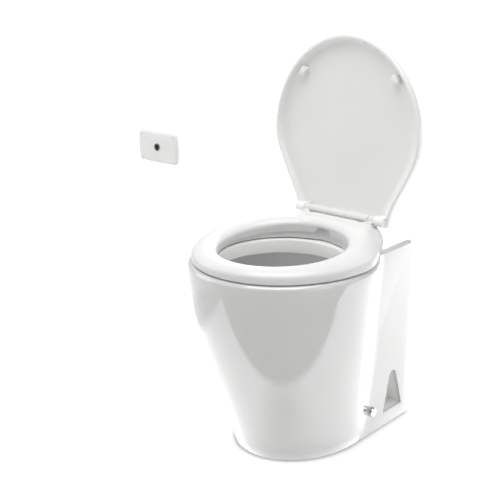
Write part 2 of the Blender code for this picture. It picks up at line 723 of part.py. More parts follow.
def make_bowl_pedestal(look):
    rings = [outer_section(0, FOOT_EDGE), outer_section(FOOT_EDGE)]
    rings += [outer_section(RIM_HEIGHT * share) for share in SECTION_HEIGHT_SHARES]
    for inset, drop in edge_steps(RIM_EDGE_RADIUS, 3):
        rings.append(outer_section(RIM_HEIGHT - RIM_EDGE_RADIUS, inset, RIM_HEIGHT - drop))
    bowl = loft("bowl_pedestal", rings, look)

    ceiling = RIM_HEIGHT - DECK_WALL
    shares = [0, *SECTION_HEIGHT_SHARES[1:-1:2]]
    levels = [outer_section(RIM_HEIGHT * share, SHELL_WALL) for share in shares]
    levels[0] = outer_section(0, SHELL_WALL, -OVERRUN)
    levels.append(outer_section(ceiling, SHELL_WALL))
    hollow = loft("hollow_cutter", levels, look)
    kept = [loft("basin_keeper", bowl_outside(), look)]
    for side in (-1, 1):
        outline = recess_outline(side * (BLOCK_HALF_WIDTH + OVERRUN), RECESS_WALL, -2 * OVERRUN)
        depth = Vector((-side * (RECESS_DEPTH + RECESS_WALL + OVERRUN), 0, 0))
        kept.append(extruded(f"recess_keeper_{side}", outline, depth, look))
    cut(hollow, *kept)

    cutters = [hollow, loft("basin_cutter", bowl_inside(), look)]
    for side in (-1, 1):
        start = side * (BLOCK_HALF_WIDTH + OVERRUN)
        outline = recess_outline(start, 0, RECESS_FLOOR)
        depth = Vector((-side * (RECESS_DEPTH + OVERRUN), 0, 0))
        cutters.append(extruded(f"recess_cutter_{side}", outline, depth, look))
        floor_x = side * (BLOCK_HALF_WIDTH - FLOOR_HOLE_INSET)
        cutters.append(
            rod(
                f"floor_hole_{side}",
                FLOOR_HOLE_RADIUS,
                at(floor_x, FLOOR_HOLE_DISTANCE, -OVERRUN),
                at(floor_x, FLOOR_HOLE_DISTANCE, RECESS_FLOOR + OVERRUN),
                SMALL_SIDES,
                look,
            )
        )
        inner = BLOCK_HALF_WIDTH - SHELL_WALL - OVERRUN
        cutters.append(
            rod(
                f"side_hole_{side}",
                FIXING_HOLE_RADIUS,
                at(side * inner, FIXING_DISTANCE, FIXING_HEIGHT),
                at(start, FIXING_DISTANCE, FIXING_HEIGHT),
                SMALL_SIDES,
                look,
            )
        )
        stud_x = side * POST_SPACING / 2
        cutters.append(
            rod(
                f"deck_hole_{side}",
                DECK_HOLE_RADIUS,
                at(stud_x, STUD_DISTANCE, ceiling - OVERRUN),
                at(stud_x, STUD_DISTANCE, RIM_HEIGHT + OVERRUN),
                SMALL_SIDES,
                look,
            )
        )
    door = rounded_door(
        -OVERRUN, REAR_OPENING_HALF_WIDTH, REAR_OPENING_BOTTOM, REAR_OPENING_TOP, REAR_OPENING_CORNER
    )
    cutters.append(extruded("door_cutter", door, Vector((0, -SHELL_WALL - 2 * OVERRUN, 0)), look))
    rear = RIM_HOLE_CENTRE - RIM_MASS_LENGTH - OVERRUN
    front = RIM_HOLE_CENTRE - CHANNEL_LENGTH + OVERRUN
    start = at(0, rear, SPUD_HEIGHT)
    end = at(0, front, SPUD_HEIGHT)
    cutters.append(rod("spud_hole", SPUD_HOLE_RADIUS, start, end, SMALL_SIDES, look))
    cut(bowl, *cutters)
    return bowl


def cover_half(inset, tail, corner, slimmer=0):
    """The +X half of the plan that seat and lid share, as (x, distance ahead of the hinge axis)."""
    half_width = COVER_HALF_WIDTH - inset - slimmer
    neck = NECK_HALF_WIDTH - inset
    corner = max(corner - inset, FOOT_EDGE)
    rear = inset - tail
    start = neck_width(max(rear, 0) / COVER_WIDEST, half_width, neck)
    half = []
    for i in range(4):
        turn = math.pi / 2 * i / 3
        half.append((start - corner * (1 - math.sin(turn)), rear + corner * (1 - math.cos(turn))))
    for share in NECK_SHARES[::-1]:
        ahead = COVER_WIDEST * share
        if ahead > rear + corner * CORNER_CLEAR_SHARE:
            half.append((neck_width(share, half_width, neck), ahead))
        else:
            half.append((start, rear + corner * CORNER_END_SHARE))
    for i in range(COVER_NOSE_STEPS + 1):
        turn = math.pi / 2 * i / COVER_NOSE_STEPS
        half.append((half_width * math.cos(turn), COVER_WIDEST + (COVER_NOSE - inset) * math.sin(turn)))
    half[-1] = (0, half[-1][1])
    return half


def neck_width(share, half_width, neck):
    """Half the width between the neck and the widest place, full first and then easing into the neck."""
    full = 1 - (1 - share) ** 2
    eased = share * share * (3 - 2 * share)
    return between(neck, half_width, NECK_BLEND * full + (1 - NECK_BLEND) * eased)


def make_seat(look):
    outer = [(x, HINGE_DISTANCE + ahead) for x, ahead in mirrored(cover_half(0, SEAT_REAR, SEAT_CORNER))]
    sections = []
    for x, distance in outer:
        turn = math.atan2(distance - SEAT_HOLE_CENTRE, x)
        hole = Vector((SEAT_HOLE_HALF_WIDTH * math.cos(turn), SEAT_HOLE_LENGTH * math.sin(turn)))
        edge = Vector((x, distance - SEAT_HOLE_CENTRE))
        width = (edge - hole).length
        sections.append([
            at(*(between(edge, hole, share) + Vector((0, SEAT_HOLE_CENTRE))), height)
            for share, height in seat_profile(width)
        ])
    seat = loft("seat", sections, look, closed=True)

    lugs = []
    for side in (-1, 1):
        lugs.append(lug_block(f"lug_{side}", side * LUG_INNER, side * LUG_OUTER, look))
    lugs.append(ramp_block(look))
    join(seat, *lugs)
    notch_front = SEAT_HOLE_CENTRE - SEAT_HOLE_LENGTH
    cutters = [
        block(
            "notch_cutter",
            at(-NOTCH_HALF_WIDTH, notch_front + OVERRUN, SEAT_BOTTOM - OVERRUN),
            at(NOTCH_HALF_WIDTH, notch_front - NOTCH_DEPTH, SEAT_TOP - NOTCH_SKIN),
            look,
        ),
        block(
            "post_room_cutter",
            at(-LUG_INNER, POST_FRONT + POST_TO_SEAT, SEAT_BOTTOM - OVERRUN),
            at(LUG_INNER, HINGE_DISTANCE - SEAT_REAR - OVERRUN, HINGE_HEIGHT + 3 * BAR_RADIUS),
            look,
        ),
    ]
    for side in (-1, 1):
        cutters.append(
            rod(
                f"lug_bore_{side}",
                PIN_RADIUS + PIN_BORE_GAP,
                at(side * (LUG_INNER - OVERRUN), HINGE_DISTANCE, HINGE_HEIGHT),
                at(side * (LUG_OUTER + OVERRUN), HINGE_DISTANCE, HINGE_HEIGHT),
                ROUND_SIDES,
                look,
            )
        )
    cut(seat, *cutters)
    return seat


def seat_profile(width):
    """(share of the way in from the outer edge, height) round the seat's section."""
    top = SEAT_TOP
    low = SEAT_BOTTOM
    outer = SEAT_OUTER_ROUND
    inner = SEAT_INNER_ROUND
    rib = SEAT_RIB_WIDTH
    slope = SEAT_CHANNEL_SLOPE
    ceiling = low + SEAT_CHANNEL_DEPTH
    inner_rib = width - SEAT_INNER_RIB_WIDTH
    places = [
        (0, low + SEAT_EDGE_ROUND),
        (0, top - outer),
        (outer * ARC_SHARE, top - outer * ARC_SHARE),
        (outer, top),
        (width / 2, top + SEAT_CROWN),
        (width - inner, top),
        (width - inner * ARC_SHARE, top - inner * ARC_SHARE),
        (width, top - inner),
        (width, low + SEAT_EDGE_ROUND),
        (width - SEAT_EDGE_ROUND, low),
        (inner_rib, low),
        (inner_rib - slope, ceiling),
        (rib + slope, ceiling),
        (rib, low),
        (SEAT_EDGE_ROUND, low),
    ]
    return [(inward / width, height) for inward, height in places]


def lug_block(name, start_x, end_x, look):
    """A hinge lug: round at the top about the axis and straight down into the seat."""
    low = SEAT_BOTTOM + SEAT_CHANNEL_DEPTH + SEAT_CROWN
    points = []
    for i in range(9):
        turn = math.pi * i / 8
        distance = HINGE_DISTANCE + BAR_RADIUS * math.cos(turn)
        points.append(at(start_x, distance, HINGE_HEIGHT + BAR_RADIUS * math.sin(turn)))
    points.append(at(start_x, HINGE_DISTANCE - BAR_RADIUS, low))
    points.append(at(start_x, HINGE_DISTANCE + BAR_RADIUS + SEAT_EDGE_ROUND, low))
    return extruded(name, points, Vector((end_x - start_x, 0, 0)), look)


def ramp_block(look):
    """The seat's rear rising to just under the hinge bar, between the lugs' outer faces."""
    low = SEAT_BOTTOM + SEAT_CHANNEL_DEPTH + SEAT_CROWN
    top = HINGE_HEIGHT - RAMP_BELOW_AXIS
    rear = POST_FRONT - SEAT_EDGE_ROUND
    front = POST_FRONT + RAMP_RUN
    points = [(rear, low), (rear, top)]
    for i in range(6):
        share = i / 5
        drop = share * share * (3 - 2 * share)
        distance = between(POST_FRONT + SEAT_EDGE_ROUND, front, share)
        points.append((distance, between(top, SEAT_TOP, drop)))
    points.append((front, low))
    start = -LUG_OUTER + CLEARANCE
    outline = [at(start, distance, height) for distance, height in points]
    ramp = extruded("ramp", outline, Vector((-2 * start, 0, 0)), look)
    sides = []
    for side in (-1, 1):
        sides.append(
            block(
                f"ramp_side_cutter_{side}",
                at(side * LUG_INNER, HINGE_DISTANCE + BAR_RADIUS, SEAT_TOP + SEAT_CROWN),
                at(side * (LUG_OUTER + OVERRUN), -OVERRUN, top + OVERRUN),
                look,
            )
        )
    cut(ramp, *sides)
    return ramp


def lid_rise(ahead):
    """How far the closed lid has risen over its nose, at a distance ahead of the hinge axis."""
    return LID_REAR_RISE * max(1 - ahead / (COVER_WIDEST + COVER_NOSE), 0) ** LID_RISE_POWER


def lid_panel_height(ahead):
    """The height of the dish's floor with the lid closed."""
    return SEAT_TOP + LID_GAP + LID_THICKNESS - LID_SKIN + lid_rise(ahead)


def lid_rings():
    """(inset, height over the dish's floor) from the floor over the rim and up to the outer skin."""
    rim = LID_SKIN - LID_THICKNESS
    top = LID_SKIN
    centre_share, crown_share, edge_share = LID_FLOOR_CROWN_SHARES
    high_share, low_share = LID_WALL_DROP_SHARES
    return (
        (LID_CENTRE_INSET, LID_CROWN * centre_share),
        (LID_CROWN_INSET, LID_CROWN * crown_share),
        (LID_PANEL_INSET, LID_CROWN * edge_share),
        (between(LID_WALL, LID_PANEL_INSET, LID_WALL_INSET_SHARE), rim * high_share),
        (LID_WALL, rim * low_share),
        (LID_RIM_CHAMFER + LID_RIM_FLAT, rim),
        (LID_RIM_CHAMFER, rim),
        (0, rim + LID_RIM_CHAMFER),
        (0, top - LID_EDGE_ROUND),
        (LID_EDGE_ROUND * ARC_SHARE, top - LID_EDGE_ROUND * ARC_SHARE),
        (LID_EDGE_ROUND, top),
        (LID_CROWN_INSET, top + LID_CROWN * LID_TOP_CROWN_SHARE),
        (LID_CENTRE_INSET, top + LID_CROWN),
    )


def make_lid(look):
    """The lid is drawn closed, and its object is then turned open about the hinge axis."""
    rings = []
    for inset, over in lid_rings():
        ring = []
        for x, ahead in mirrored(cover_half(inset, LID_TAIL, LID_TAIL_CORNER, LID_INSET)):
            ring.append(at(x, HINGE_DISTANCE + ahead, lid_panel_height(ahead) + over))
        rings.append(ring)
    lid = loft("lid", rings, look)
    high = HINGE_HEIGHT + BAR_ROOM_ABOVE
    bar_room = block(
        "bar_room_cutter",
        at(-KNUCKLE_INNER, HINGE_DISTANCE + BAR_ROOM_AHEAD, SEAT_TOP),
        at(KNUCKLE_INNER, HINGE_DISTANCE - LID_TAIL - OVERRUN, high),
        look,
    )
    ears = [lid_ear(f"ear_{side}", side, look) for side in (-1, 1)]
    bores = []
    for side in (-1, 1):
        start = at(side * (KNUCKLE_INNER - OVERRUN), HINGE_DISTANCE, HINGE_HEIGHT)
        end = at(side * pin_end(), HINGE_DISTANCE, HINGE_HEIGHT)
        bores.append(rod(f"lid_bore_{side}", PIN_RADIUS + PIN_BORE_GAP, start, end, ROUND_SIDES, look))
    slots = []
    slot_top = lid_panel_height(0) + LID_THICKNESS
    for side in (-1, 1):
        inner = side * (POST_SPACING / 2 - POST_WIDTH / 2 - SLOT_MARGIN)
        outer = side * (POST_SPACING / 2 + POST_WIDTH / 2 + SLOT_MARGIN)
        front = at(inner, HINGE_DISTANCE + SLOT_AHEAD, HINGE_HEIGHT)
        rear = at(outer, HINGE_DISTANCE - LID_TAIL - 2 * OVERRUN, slot_top)
        slots.append(block(f"post_slot_{side}", front, rear, look))
    cut(lid, bar_room, *slots)
    join(lid, *ears)
    cut(lid, *bores)
    hang_on_hinge(lid, [bar_room, *slots, *ears, *bores])
    return lid


def lid_ear(name, side, look):
    """An ear under the lid's rear corner, round about the hinge axis and straight up into the skin."""
    start = side * KNUCKLE_INNER
    top = lid_panel_height(0) + LID_SKIN / 2
    points = [at(start, HINGE_DISTANCE + EAR_RADIUS, top), at(start, HINGE_DISTANCE - EAR_RADIUS, top)]
    for i in range(9):
        turn = math.pi * (1 + i / 8)
        distance = HINGE_DISTANCE + EAR_RADIUS * math.cos(turn)
        points.append(at(start, distance, HINGE_HEIGHT + EAR_RADIUS * math.sin(turn)))
    return extruded(name, points, Vector((side * (EAR_OUTER - KNUCKLE_INNER), 0, 0)), look)


def pin_end():
    """How far out a hinge pin's blind bore reaches."""
    return LUG_INNER - PIN_LENGTH / 2 + PIN_LENGTH + CLEARANCE


def hang_on_hinge(piece, helpers):
    """Puts a lid piece's origin on the hinge axis and turns it open, with the shapes that form it."""
    pivot = Vector((0, HINGE_Y, HINGE_HEIGHT))
    for each in (piece, *helpers):
        each.data.transform(Matrix.Translation(-pivot))
        each.location = pivot
        each.rotation_euler = (-LID_OPEN_ANGLE, 0, 0)


def pad(name, centre, turn, top_at, look):
    """A rounded rubber pad from centre up to a height given as a function of the distance."""
    turned_by = Matrix.Rotation(turn, 3, "Z")
    rings = []
    for inset, raised, lowered in (
        (PAD_TAPER, 0, 0),
        (0, PAD_TAPER, 0),
        (0, 0, PAD_TAPER),
        (PAD_TAPER, 0, 0),
    ):
        ring = []
        for cx, cy, start in ((1, 1, 0), (-1, 1, 1), (-1, -1, 2), (1, -1, 3)):
            for i in range(3):
                around = math.pi / 2 * (start + i / 2)
                px = cx * (PAD_LENGTH / 2 - PAD_ROUND) + (PAD_ROUND - inset) * math.cos(around)
                py = cy * (PAD_WIDTH / 2 - PAD_ROUND) + (PAD_ROUND - inset) * math.sin(around)
                spot = centre + turned_by @ Vector((px, py, raised))
                if len(rings) > 1:
                    spot.z = top_at(BULKHEAD_Y - spot.y) - lowered
                ring.append(spot)
        rings.append(ring)
    return loft(name, rings, look)


def make_pads(look):
    seat_top = SEAT_BOTTOM + SEAT_CHANNEL_DEPTH - CLEARANCE
    mid_width = between(COVER_HALF_WIDTH, SEAT_HOLE_HALF_WIDTH, SEAT_PAD_SHARE)
    seat_front = HINGE_DISTANCE + COVER_WIDEST + COVER_NOSE - SEAT_HOLE_CENTRE
    mid_length = between(seat_front, SEAT_HOLE_LENGTH, SEAT_PAD_SHARE)
    number = 0
    for angle in (SEAT_PAD_FRONT_ANGLE, SEAT_PAD_REAR_ANGLE):
        for side in (-1, 1):
            number += 1
            x = side * mid_width * math.sin(angle)
            distance = SEAT_HOLE_CENTRE + mid_length * math.cos(angle)
            centre = at(x, distance, RIM_HEIGHT + CLEARANCE)
            pad(f"seat_pad_{number}", centre, side * angle, lambda _: seat_top, look)

    def lid_floor(distance):
        sunk = LID_CROWN * LID_FLOOR_CROWN_SHARES[-1]
        return lid_panel_height(distance - HINGE_DISTANCE) + sunk - CLEARANCE

    for number, side in enumerate((-1, 1), 1):
        distance = HINGE_DISTANCE + LID_PAD_REACH
        centre = at(side * LID_PAD_HALF_SPACING, distance, SEAT_TOP + SEAT_CROWN + CLEARANCE)
        made = pad(f"lid_pad_{number}", centre, side * LID_PAD_TURN, lid_floor, look)
        hang_on_hinge(made, [])


def make_hinge(plastic, metal, rubber):
    bar = rod(
        "hinge_bar",
        BAR_RADIUS,
        at(-BAR_HALF_LENGTH, HINGE_DISTANCE, HINGE_HEIGHT),
        at(BAR_HALF_LENGTH, HINGE_DISTANCE, HINGE_HEIGHT),
        ROUND_SIDES,
        plastic,
    )
    ceiling = RIM_HEIGHT - DECK_WALL
    base = RIM_HEIGHT + CLEARANCE
    stud_top = base + STUD_INSERTION
    for side in (-1, 1):
        word = "left" if side < 0 else "right"
        centre_x = side * POST_SPACING / 2
        start = centre_x - POST_WIDTH / 2
        outline = [
            at(start, POST_FRONT, base),
            at(start, POST_REAR, base),
            at(start, HINGE_DISTANCE, base + POST_FOOT_RISE),
            at(start, POST_NECK_FRONT, HINGE_HEIGHT - POST_NECK_BOTTOM),
            at(start, POST_NECK_FRONT, HINGE_HEIGHT - POST_NECK_TOP),
            at(start, HINGE_DISTANCE - BAR_RADIUS * POST_TOP_SHARE, HINGE_HEIGHT),
            at(start, HINGE_DISTANCE + BAR_RADIUS * POST_TOP_SHARE, HINGE_HEIGHT),
            at(start, POST_FRONT, HINGE_HEIGHT - POST_NECK_TOP),
        ]
        post = extruded(f"post_{side}", outline, Vector((POST_WIDTH, 0, 0)), plastic)
        join(bar, post)
        stud_bore = rod(
            f"stud_bore_{side}",
            STUD_RADIUS + PIN_BORE_GAP,
            at(centre_x, STUD_DISTANCE, base - OVERRUN),
            at(centre_x, STUD_DISTANCE, stud_top + CLEARANCE),
            SMALL_SIDES,
            plastic,
        )
        pin_start = side * (LUG_INNER - PIN_LENGTH / 2)
        pin_bore = rod(
            f"pin_bore_{side}",
            PIN_RADIUS + PIN_BORE_GAP,
            at(pin_start - side * CLEARANCE, HINGE_DISTANCE, HINGE_HEIGHT),
            at(side * (BAR_HALF_LENGTH + OVERRUN), HINGE_DISTANCE, HINGE_HEIGHT),
            ROUND_SIDES,
            plastic,
        )
        cut(bar, stud_bore, pin_bore)
        rod(
            f"hinge_pin_{word}",
            PIN_RADIUS,
            at(pin_start, HINGE_DISTANCE, HINGE_HEIGHT),
            at(pin_start + side * PIN_LENGTH, HINGE_DISTANCE, HINGE_HEIGHT),
            ROUND_SIDES,
            metal,
        )
        rod(
            f"hinge_stud_{word}",
            STUD_RADIUS,
            at(centre_x, STUD_DISTANCE, stud_top - STUD_LENGTH),
            at(centre_x, STUD_DISTANCE, stud_top),
            SMALL_SIDES,
            metal,
        )
        washer_top = ceiling - CLEARANCE
        washer_bottom = washer_top - WASHER_THICKNESS
        bore = STUD_RADIUS + PIN_BORE_GAP
        turned(
            f"hinge_washer_{word}",
            (
                (bore, 0),
                (WASHER_RADIUS, 0),
                (WASHER_RADIUS, WASHER_THICKNESS),
                (bore, WASHER_THICKNESS),
            ),
            at(centre_x, STUD_DISTANCE, washer_bottom),
            (0, 0, 1),
            ROUND_SIDES,
            rubber,
        )
        make_wing_nut(f"wing_nut_{word}", centre_x, washer_bottom - CLEARANCE, bore, plastic)


def make_wing_nut(name, x, top, bore, look):
    nut = rod(
        name,
        NUT_HUB_RADIUS,
        at(x, STUD_DISTANCE, top - NUT_HEIGHT),
        at(x, STUD_DISTANCE, top),
        SMALL_SIDES,
        look,
    )
    half = NUT_WING_THICKNESS / 2
    wings = block(
        f"{name}_wings",
        at(x - NUT_WING_SPAN, STUD_DISTANCE + half, top - NUT_HEIGHT - NUT_WING_DROP),
        at(x + NUT_WING_SPAN, STUD_DISTANCE - half, top - NUT_HEIGHT / 2),
        look,
    )
    join(nut, wings)
    hole = rod(
        f"{name}_hole",
        bore,
        at(x, STUD_DISTANCE, top - NUT_HEIGHT - NUT_WING_DROP - OVERRUN),
        at(x, STUD_DISTANCE, top + OVERRUN),
        SMALL_SIDES,
        look,
    )
    cut(nut, hole)


def make_side_fixings(steel, chrome):
    inner = BLOCK_HALF_WIDTH - SHELL_WALL - CLEARANCE
    outer = BLOCK_HALF_WIDTH + CLEARANCE
    for side in (-1, 1):
        word = "left" if side < 0 else "right"
        rear = FIXING_DISTANCE - BRACKET_WIDTH / 2
        outline = [
            at(side * inner, rear, 0),
            at(side * inner, rear, BRACKET_HEIGHT),
            at(side * (inner - BRACKET_THICKNESS), rear, BRACKET_HEIGHT),
            at(side * (inner - BRACKET_THICKNESS), rear, BRACKET_THICKNESS),
            at(side * (inner - BRACKET_FOOT), rear, BRACKET_THICKNESS),
            at(side * (inner - BRACKET_FOOT), rear, 0),
        ]
        bracket = extruded(f"fixing_bracket_{word}", outline, Vector((0, -BRACKET_WIDTH, 0)), steel)
        foot_x = side * (inner - BRACKET_FOOT + BRACKET_HOLE_INSET)
        holes = [
            rod(
                f"bracket_floor_hole_{side}",
                BRACKET_HOLE_RADIUS,
                at(foot_x, FIXING_DISTANCE, -OVERRUN),
                at(foot_x, FIXING_DISTANCE, BRACKET_THICKNESS + OVERRUN),
                SMALL_SIDES,
                steel,
            ),
            rod(
                f"bracket_side_hole_{side}",
                BRACKET_HOLE_RADIUS,
                at(side * (inner + OVERRUN), FIXING_DISTANCE, FIXING_HEIGHT),
                at(side * (inner - BRACKET_THICKNESS - OVERRUN), FIXING_DISTANCE, FIXING_HEIGHT),
                SMALL_SIDES,
                steel,
            ),
        ]
        cut(bracket, *holes)
        head = SIDE_SCREW_HEAD_HEIGHT
        turned(
            f"side_screw_{word}",
            (
                (0, -SIDE_SCREW_LENGTH),
                (SIDE_SCREW_RADIUS, -SIDE_SCREW_LENGTH),
                (SIDE_SCREW_RADIUS, 0),
                (SIDE_SCREW_HEAD_RADIUS, 0),
                (SIDE_SCREW_HEAD_RADIUS, head * SCREW_HEAD_SHARE),
                (SIDE_SCREW_HEAD_RADIUS * SCREW_HEAD_SHARE, head),
                (0, head),
            ),
            at(side * outer, FIXING_DISTANCE, FIXING_HEIGHT),
            (side, 0, 0),
            SMALL_SIDES,
            steel,
        )
        turned(
            f"screw_cap_{word}",
            (
                (CAP_RADIUS - CAP_WALL, 0),
                (CAP_RADIUS, 0),
                (CAP_RADIUS, CAP_HEIGHT - CAP_ROUND),
                (CAP_RADIUS - CAP_ROUND * ARC_SHARE, CAP_HEIGHT - CAP_ROUND * ARC_SHARE),
                (CAP_RADIUS - CAP_ROUND, CAP_HEIGHT),
                (CLEARANCE, CAP_HEIGHT + CAP_CROWN),
                (CLEARANCE, CAP_HEIGHT - CAP_WALL),
                (CAP_RADIUS - CAP_WALL, CAP_HEIGHT - CAP_ROUND),
            ),
            at(side * outer, FIXING_DISTANCE, FIXING_HEIGHT),
            (side, 0, 0),
            ROUND_SIDES,
            chrome,
        )


def pump_turned(name, profile, sides, look):
    """A piece turned about the pump's axis: its profile is (radius, distance from the bulkhead)."""
    return turned(name, profile, at(0, 0, PUMP_HEIGHT), (0, -1, 0), sides, look)


def make_pump(dark, steel, rubber, painted):
    flange_rear = COVER_FLANGE_FRONT - COVER_FLANGE_THICKNESS
    cover = pump_turned(
        "pump_cover",
        (
            (COVER_SPIGOT_BORE, flange_rear),
            (PUMP_FLANGE_RADIUS, flange_rear),
            (PUMP_FLANGE_RADIUS, COVER_FLANGE_FRONT),
            (SPIGOT_RADIUS + PUMP_WALL, COVER_FLANGE_FRONT),
            (SPIGOT_RADIUS, COVER_FLANGE_FRONT + PUMP_WALL / 2),
            (SPIGOT_RADIUS, COVER_SPIGOT_TIP),
            (COVER_SPIGOT_BORE, COVER_SPIGOT_TIP),
        ),
        FINE_SIDES,
        dark,
    )
    gasket_rear = flange_rear - CLEARANCE - GASKET_THICKNESS
    pump_turned(
        "pump_gasket",
        (
            (GASKET_INNER_RADIUS, gasket_rear),
            (GASKET_OUTER_RADIUS, gasket_rear),
            (GASKET_OUTER_RADIUS, gasket_rear + GASKET_THICKNESS),
            (GASKET_INNER_RADIUS, gasket_rear + GASKET_THICKNESS),
        ),
        FINE_SIDES,
        rubber,
    )
    chamber_rear = HOUSING_REAR + PUMP_WALL
    chamber_radius = PUMP_RADIUS - PUMP_WALL
    seal_bore = SEAL_OUTER_RADIUS + CLEARANCE
    shaft_bore = SHAFT_RADIUS + CLEARANCE
    housing = pump_turned(
        "pump_housing",
        (
            (0, HOUSING_REAR),
            (PUMP_RADIUS, HOUSING_REAR),
            (PUMP_RADIUS, HOUSING_FRONT - PUMP_FLANGE_THICKNESS),
            (PUMP_FLANGE_RADIUS, HOUSING_FRONT - PUMP_FLANGE_THICKNESS),
            (PUMP_FLANGE_RADIUS, HOUSING_FRONT),
            (0, HOUSING_FRONT),
        ),
        FINE_SIDES,
        dark,
    )
    spout_bottom = at(DISCHARGE_OFFSET, SPOUT_DISTANCE, PUMP_HEIGHT)
    spout_top = at(DISCHARGE_OFFSET, SPOUT_DISTANCE, SPOUT_TOP)
    join(housing, rod("spout", DISCHARGE_RADIUS, spout_bottom, spout_top, ROUND_SIDES, dark))
    chamber = pump_turned(
        "chamber_cutter",
        (
            (0, HOUSING_REAR - OVERRUN),
            (seal_bore, HOUSING_REAR - OVERRUN),
            (seal_bore, chamber_rear),
            (chamber_radius, chamber_rear),
            (chamber_radius, HOUSING_FRONT + OVERRUN),
            (0, HOUSING_FRONT + OVERRUN),
        ),
        FINE_SIDES,
        dark,
    )
    overrun = Vector((0, 0, OVERRUN))
    bore = rod("spout_bore", DISCHARGE_BORE, spout_bottom, spout_top + overrun, ROUND_SIDES, dark)
    cut(housing, chamber, bore)
    for i in range(PUMP_SCREW_COUNT):
        make_pump_screw(i, cover, housing, steel)

    pump_turned(
        "shaft_seal",
        (
            (shaft_bore, HOUSING_REAR),
            (SEAL_OUTER_RADIUS, HOUSING_REAR),
            (SEAL_OUTER_RADIUS, HOUSING_REAR + SEAL_THICKNESS),
            (shaft_bore, HOUSING_REAR + SEAL_THICKNESS),
        ),
        ROUND_SIDES,
        rubber,
    )
    pump_turned(
        "motor_shaft",
        ((0, SHAFT_REAR), (SHAFT_RADIUS, SHAFT_REAR), (SHAFT_RADIUS, SHAFT_FRONT), (0, SHAFT_FRONT)),
        SMALL_SIDES,
        steel,
    )
    make_impeller(chamber_rear + IMPELLER_REAR_GAP, shaft_bore, dark)
    make_blade(shaft_bore, steel)
    pump_turned(
        "armature",
        (
            (shaft_bore, ARMATURE_REAR),
            (ARMATURE_RADIUS, ARMATURE_REAR),
            (ARMATURE_RADIUS, ARMATURE_FRONT),
            (shaft_bore, ARMATURE_FRONT),
        ),
        ROUND_SIDES,
        steel,
    )
    pump_turned(
        "motor_can",
        (
            (shaft_bore, MOTOR_FRONT - PUMP_WALL),
            (MOTOR_RADIUS - MOTOR_WALL, MOTOR_FRONT - PUMP_WALL),
            (MOTOR_RADIUS - MOTOR_WALL, MOTOR_REAR),
            (MOTOR_RADIUS, MOTOR_REAR),
            (MOTOR_RADIUS, MOTOR_FRONT),
            (shaft_bore, MOTOR_FRONT),
        ),
        FINE_SIDES,
        painted,
    )
    make_end_cap(shaft_bore, dark)


def make_pump_screw(i, cover, housing, steel):
    turn = math.tau * (i + 0.5) / PUMP_SCREW_COUNT - math.pi / 2
    x = PUMP_SCREW_CIRCLE * math.cos(turn)
    z = PUMP_HEIGHT + PUMP_SCREW_CIRCLE * math.sin(turn)
    head = COVER_FLANGE_FRONT + CLEARANCE
    tip = HOUSING_FRONT - PUMP_FLANGE_THICKNESS - CLEARANCE
    hole = PUMP_SCREW_RADIUS + CLEARANCE
    for target in (cover, housing):
        start = at(x, tip - OVERRUN, z)
        end = at(x, head + OVERRUN, z)
        cut(target, rod(f"{target.name}_hole_{i}", hole, start, end, SMALL_SIDES, steel))
    turned(
        f"pump_screw_{i + 1}",
        (
            (0, tip),
            (PUMP_SCREW_RADIUS, tip),
            (PUMP_SCREW_RADIUS, head),
            (PUMP_SCREW_HEAD_RADIUS, head),
            (PUMP_SCREW_HEAD_RADIUS, head + PUMP_SCREW_HEAD_HEIGHT),
            (0, head + PUMP_SCREW_HEAD_HEIGHT),
        ),
        at(x, 0, z),
        (0, -1, 0),
        SMALL_SIDES,
        steel,
    )


def make_impeller(rear, bore, look):
    front = rear + IMPELLER_BACK
    impeller = pump_turned(
        "impeller",
        (
            (bore, rear),
            (IMPELLER_RADIUS, rear),
            (IMPELLER_RADIUS, front),
            (IMPELLER_HUB_RADIUS, front),
            (IMPELLER_HUB_RADIUS, front + IMPELLER_VANE_HEIGHT),
            (bore, front + IMPELLER_VANE_HEIGHT),
        ),
        ROUND_SIDES,
        look,
    )
    inner = IMPELLER_HUB_RADIUS * IMPELLER_ROOT_SHARE
    outer = IMPELLER_RADIUS * IMPELLER_TIP_SHARE
    for i in range(IMPELLER_VANE_COUNT):
        turn = math.tau * i / IMPELLER_VANE_COUNT
        points = []
        for radius, side in ((inner, -1), (outer, -1), (outer, 1), (inner, 1)):
            way = turn if radius == inner else turn + IMPELLER_SWEEP
            across = side * IMPELLER_VANE_THICKNESS / 2
            x = radius * math.cos(way) - across * math.sin(way)
            z = radius * math.sin(way) + across * math.cos(way)
            points.append(at(x, front - IMPELLER_BACK / 2, PUMP_HEIGHT + z))
        depth = Vector((0, -IMPELLER_VANE_HEIGHT - IMPELLER_BACK / 4, 0))
        join(impeller, extruded(f"vane_{i}", points, depth, look))


def make_blade(bore, look):
    """A flat cutter with swept teeth, ahead of the impeller."""
    rear = HOUSING_REAR + PUMP_WALL + IMPELLER_REAR_GAP + IMPELLER_BACK
    rear += IMPELLER_VANE_HEIGHT + BLADE_TO_IMPELLER
    points = []
    for i in range(BLADE_TEETH):
        turn = math.tau * i / BLADE_TEETH
        half = math.asin(BLADE_TOOTH_WIDTH / 2 / BLADE_RADIUS)
        root = math.pi / BLADE_TEETH
        for radius, way in (
            (BLADE_RADIUS, turn - half),
            (BLADE_RADIUS, turn + half),
            (BLADE_HUB_RADIUS, turn + root),
        ):
            points.append(at(radius * math.cos(way), rear, PUMP_HEIGHT + radius * math.sin(way)))
    blade = extruded("macerator_blade", points, Vector((0, -BLADE_THICKNESS, 0)), look)
    start = at(0, rear - OVERRUN, PUMP_HEIGHT)
    end = at(0, rear + BLADE_THICKNESS + OVERRUN, PUMP_HEIGHT)
    cut(blade, rod("blade_bore", bore, start, end, SMALL_SIDES, look))


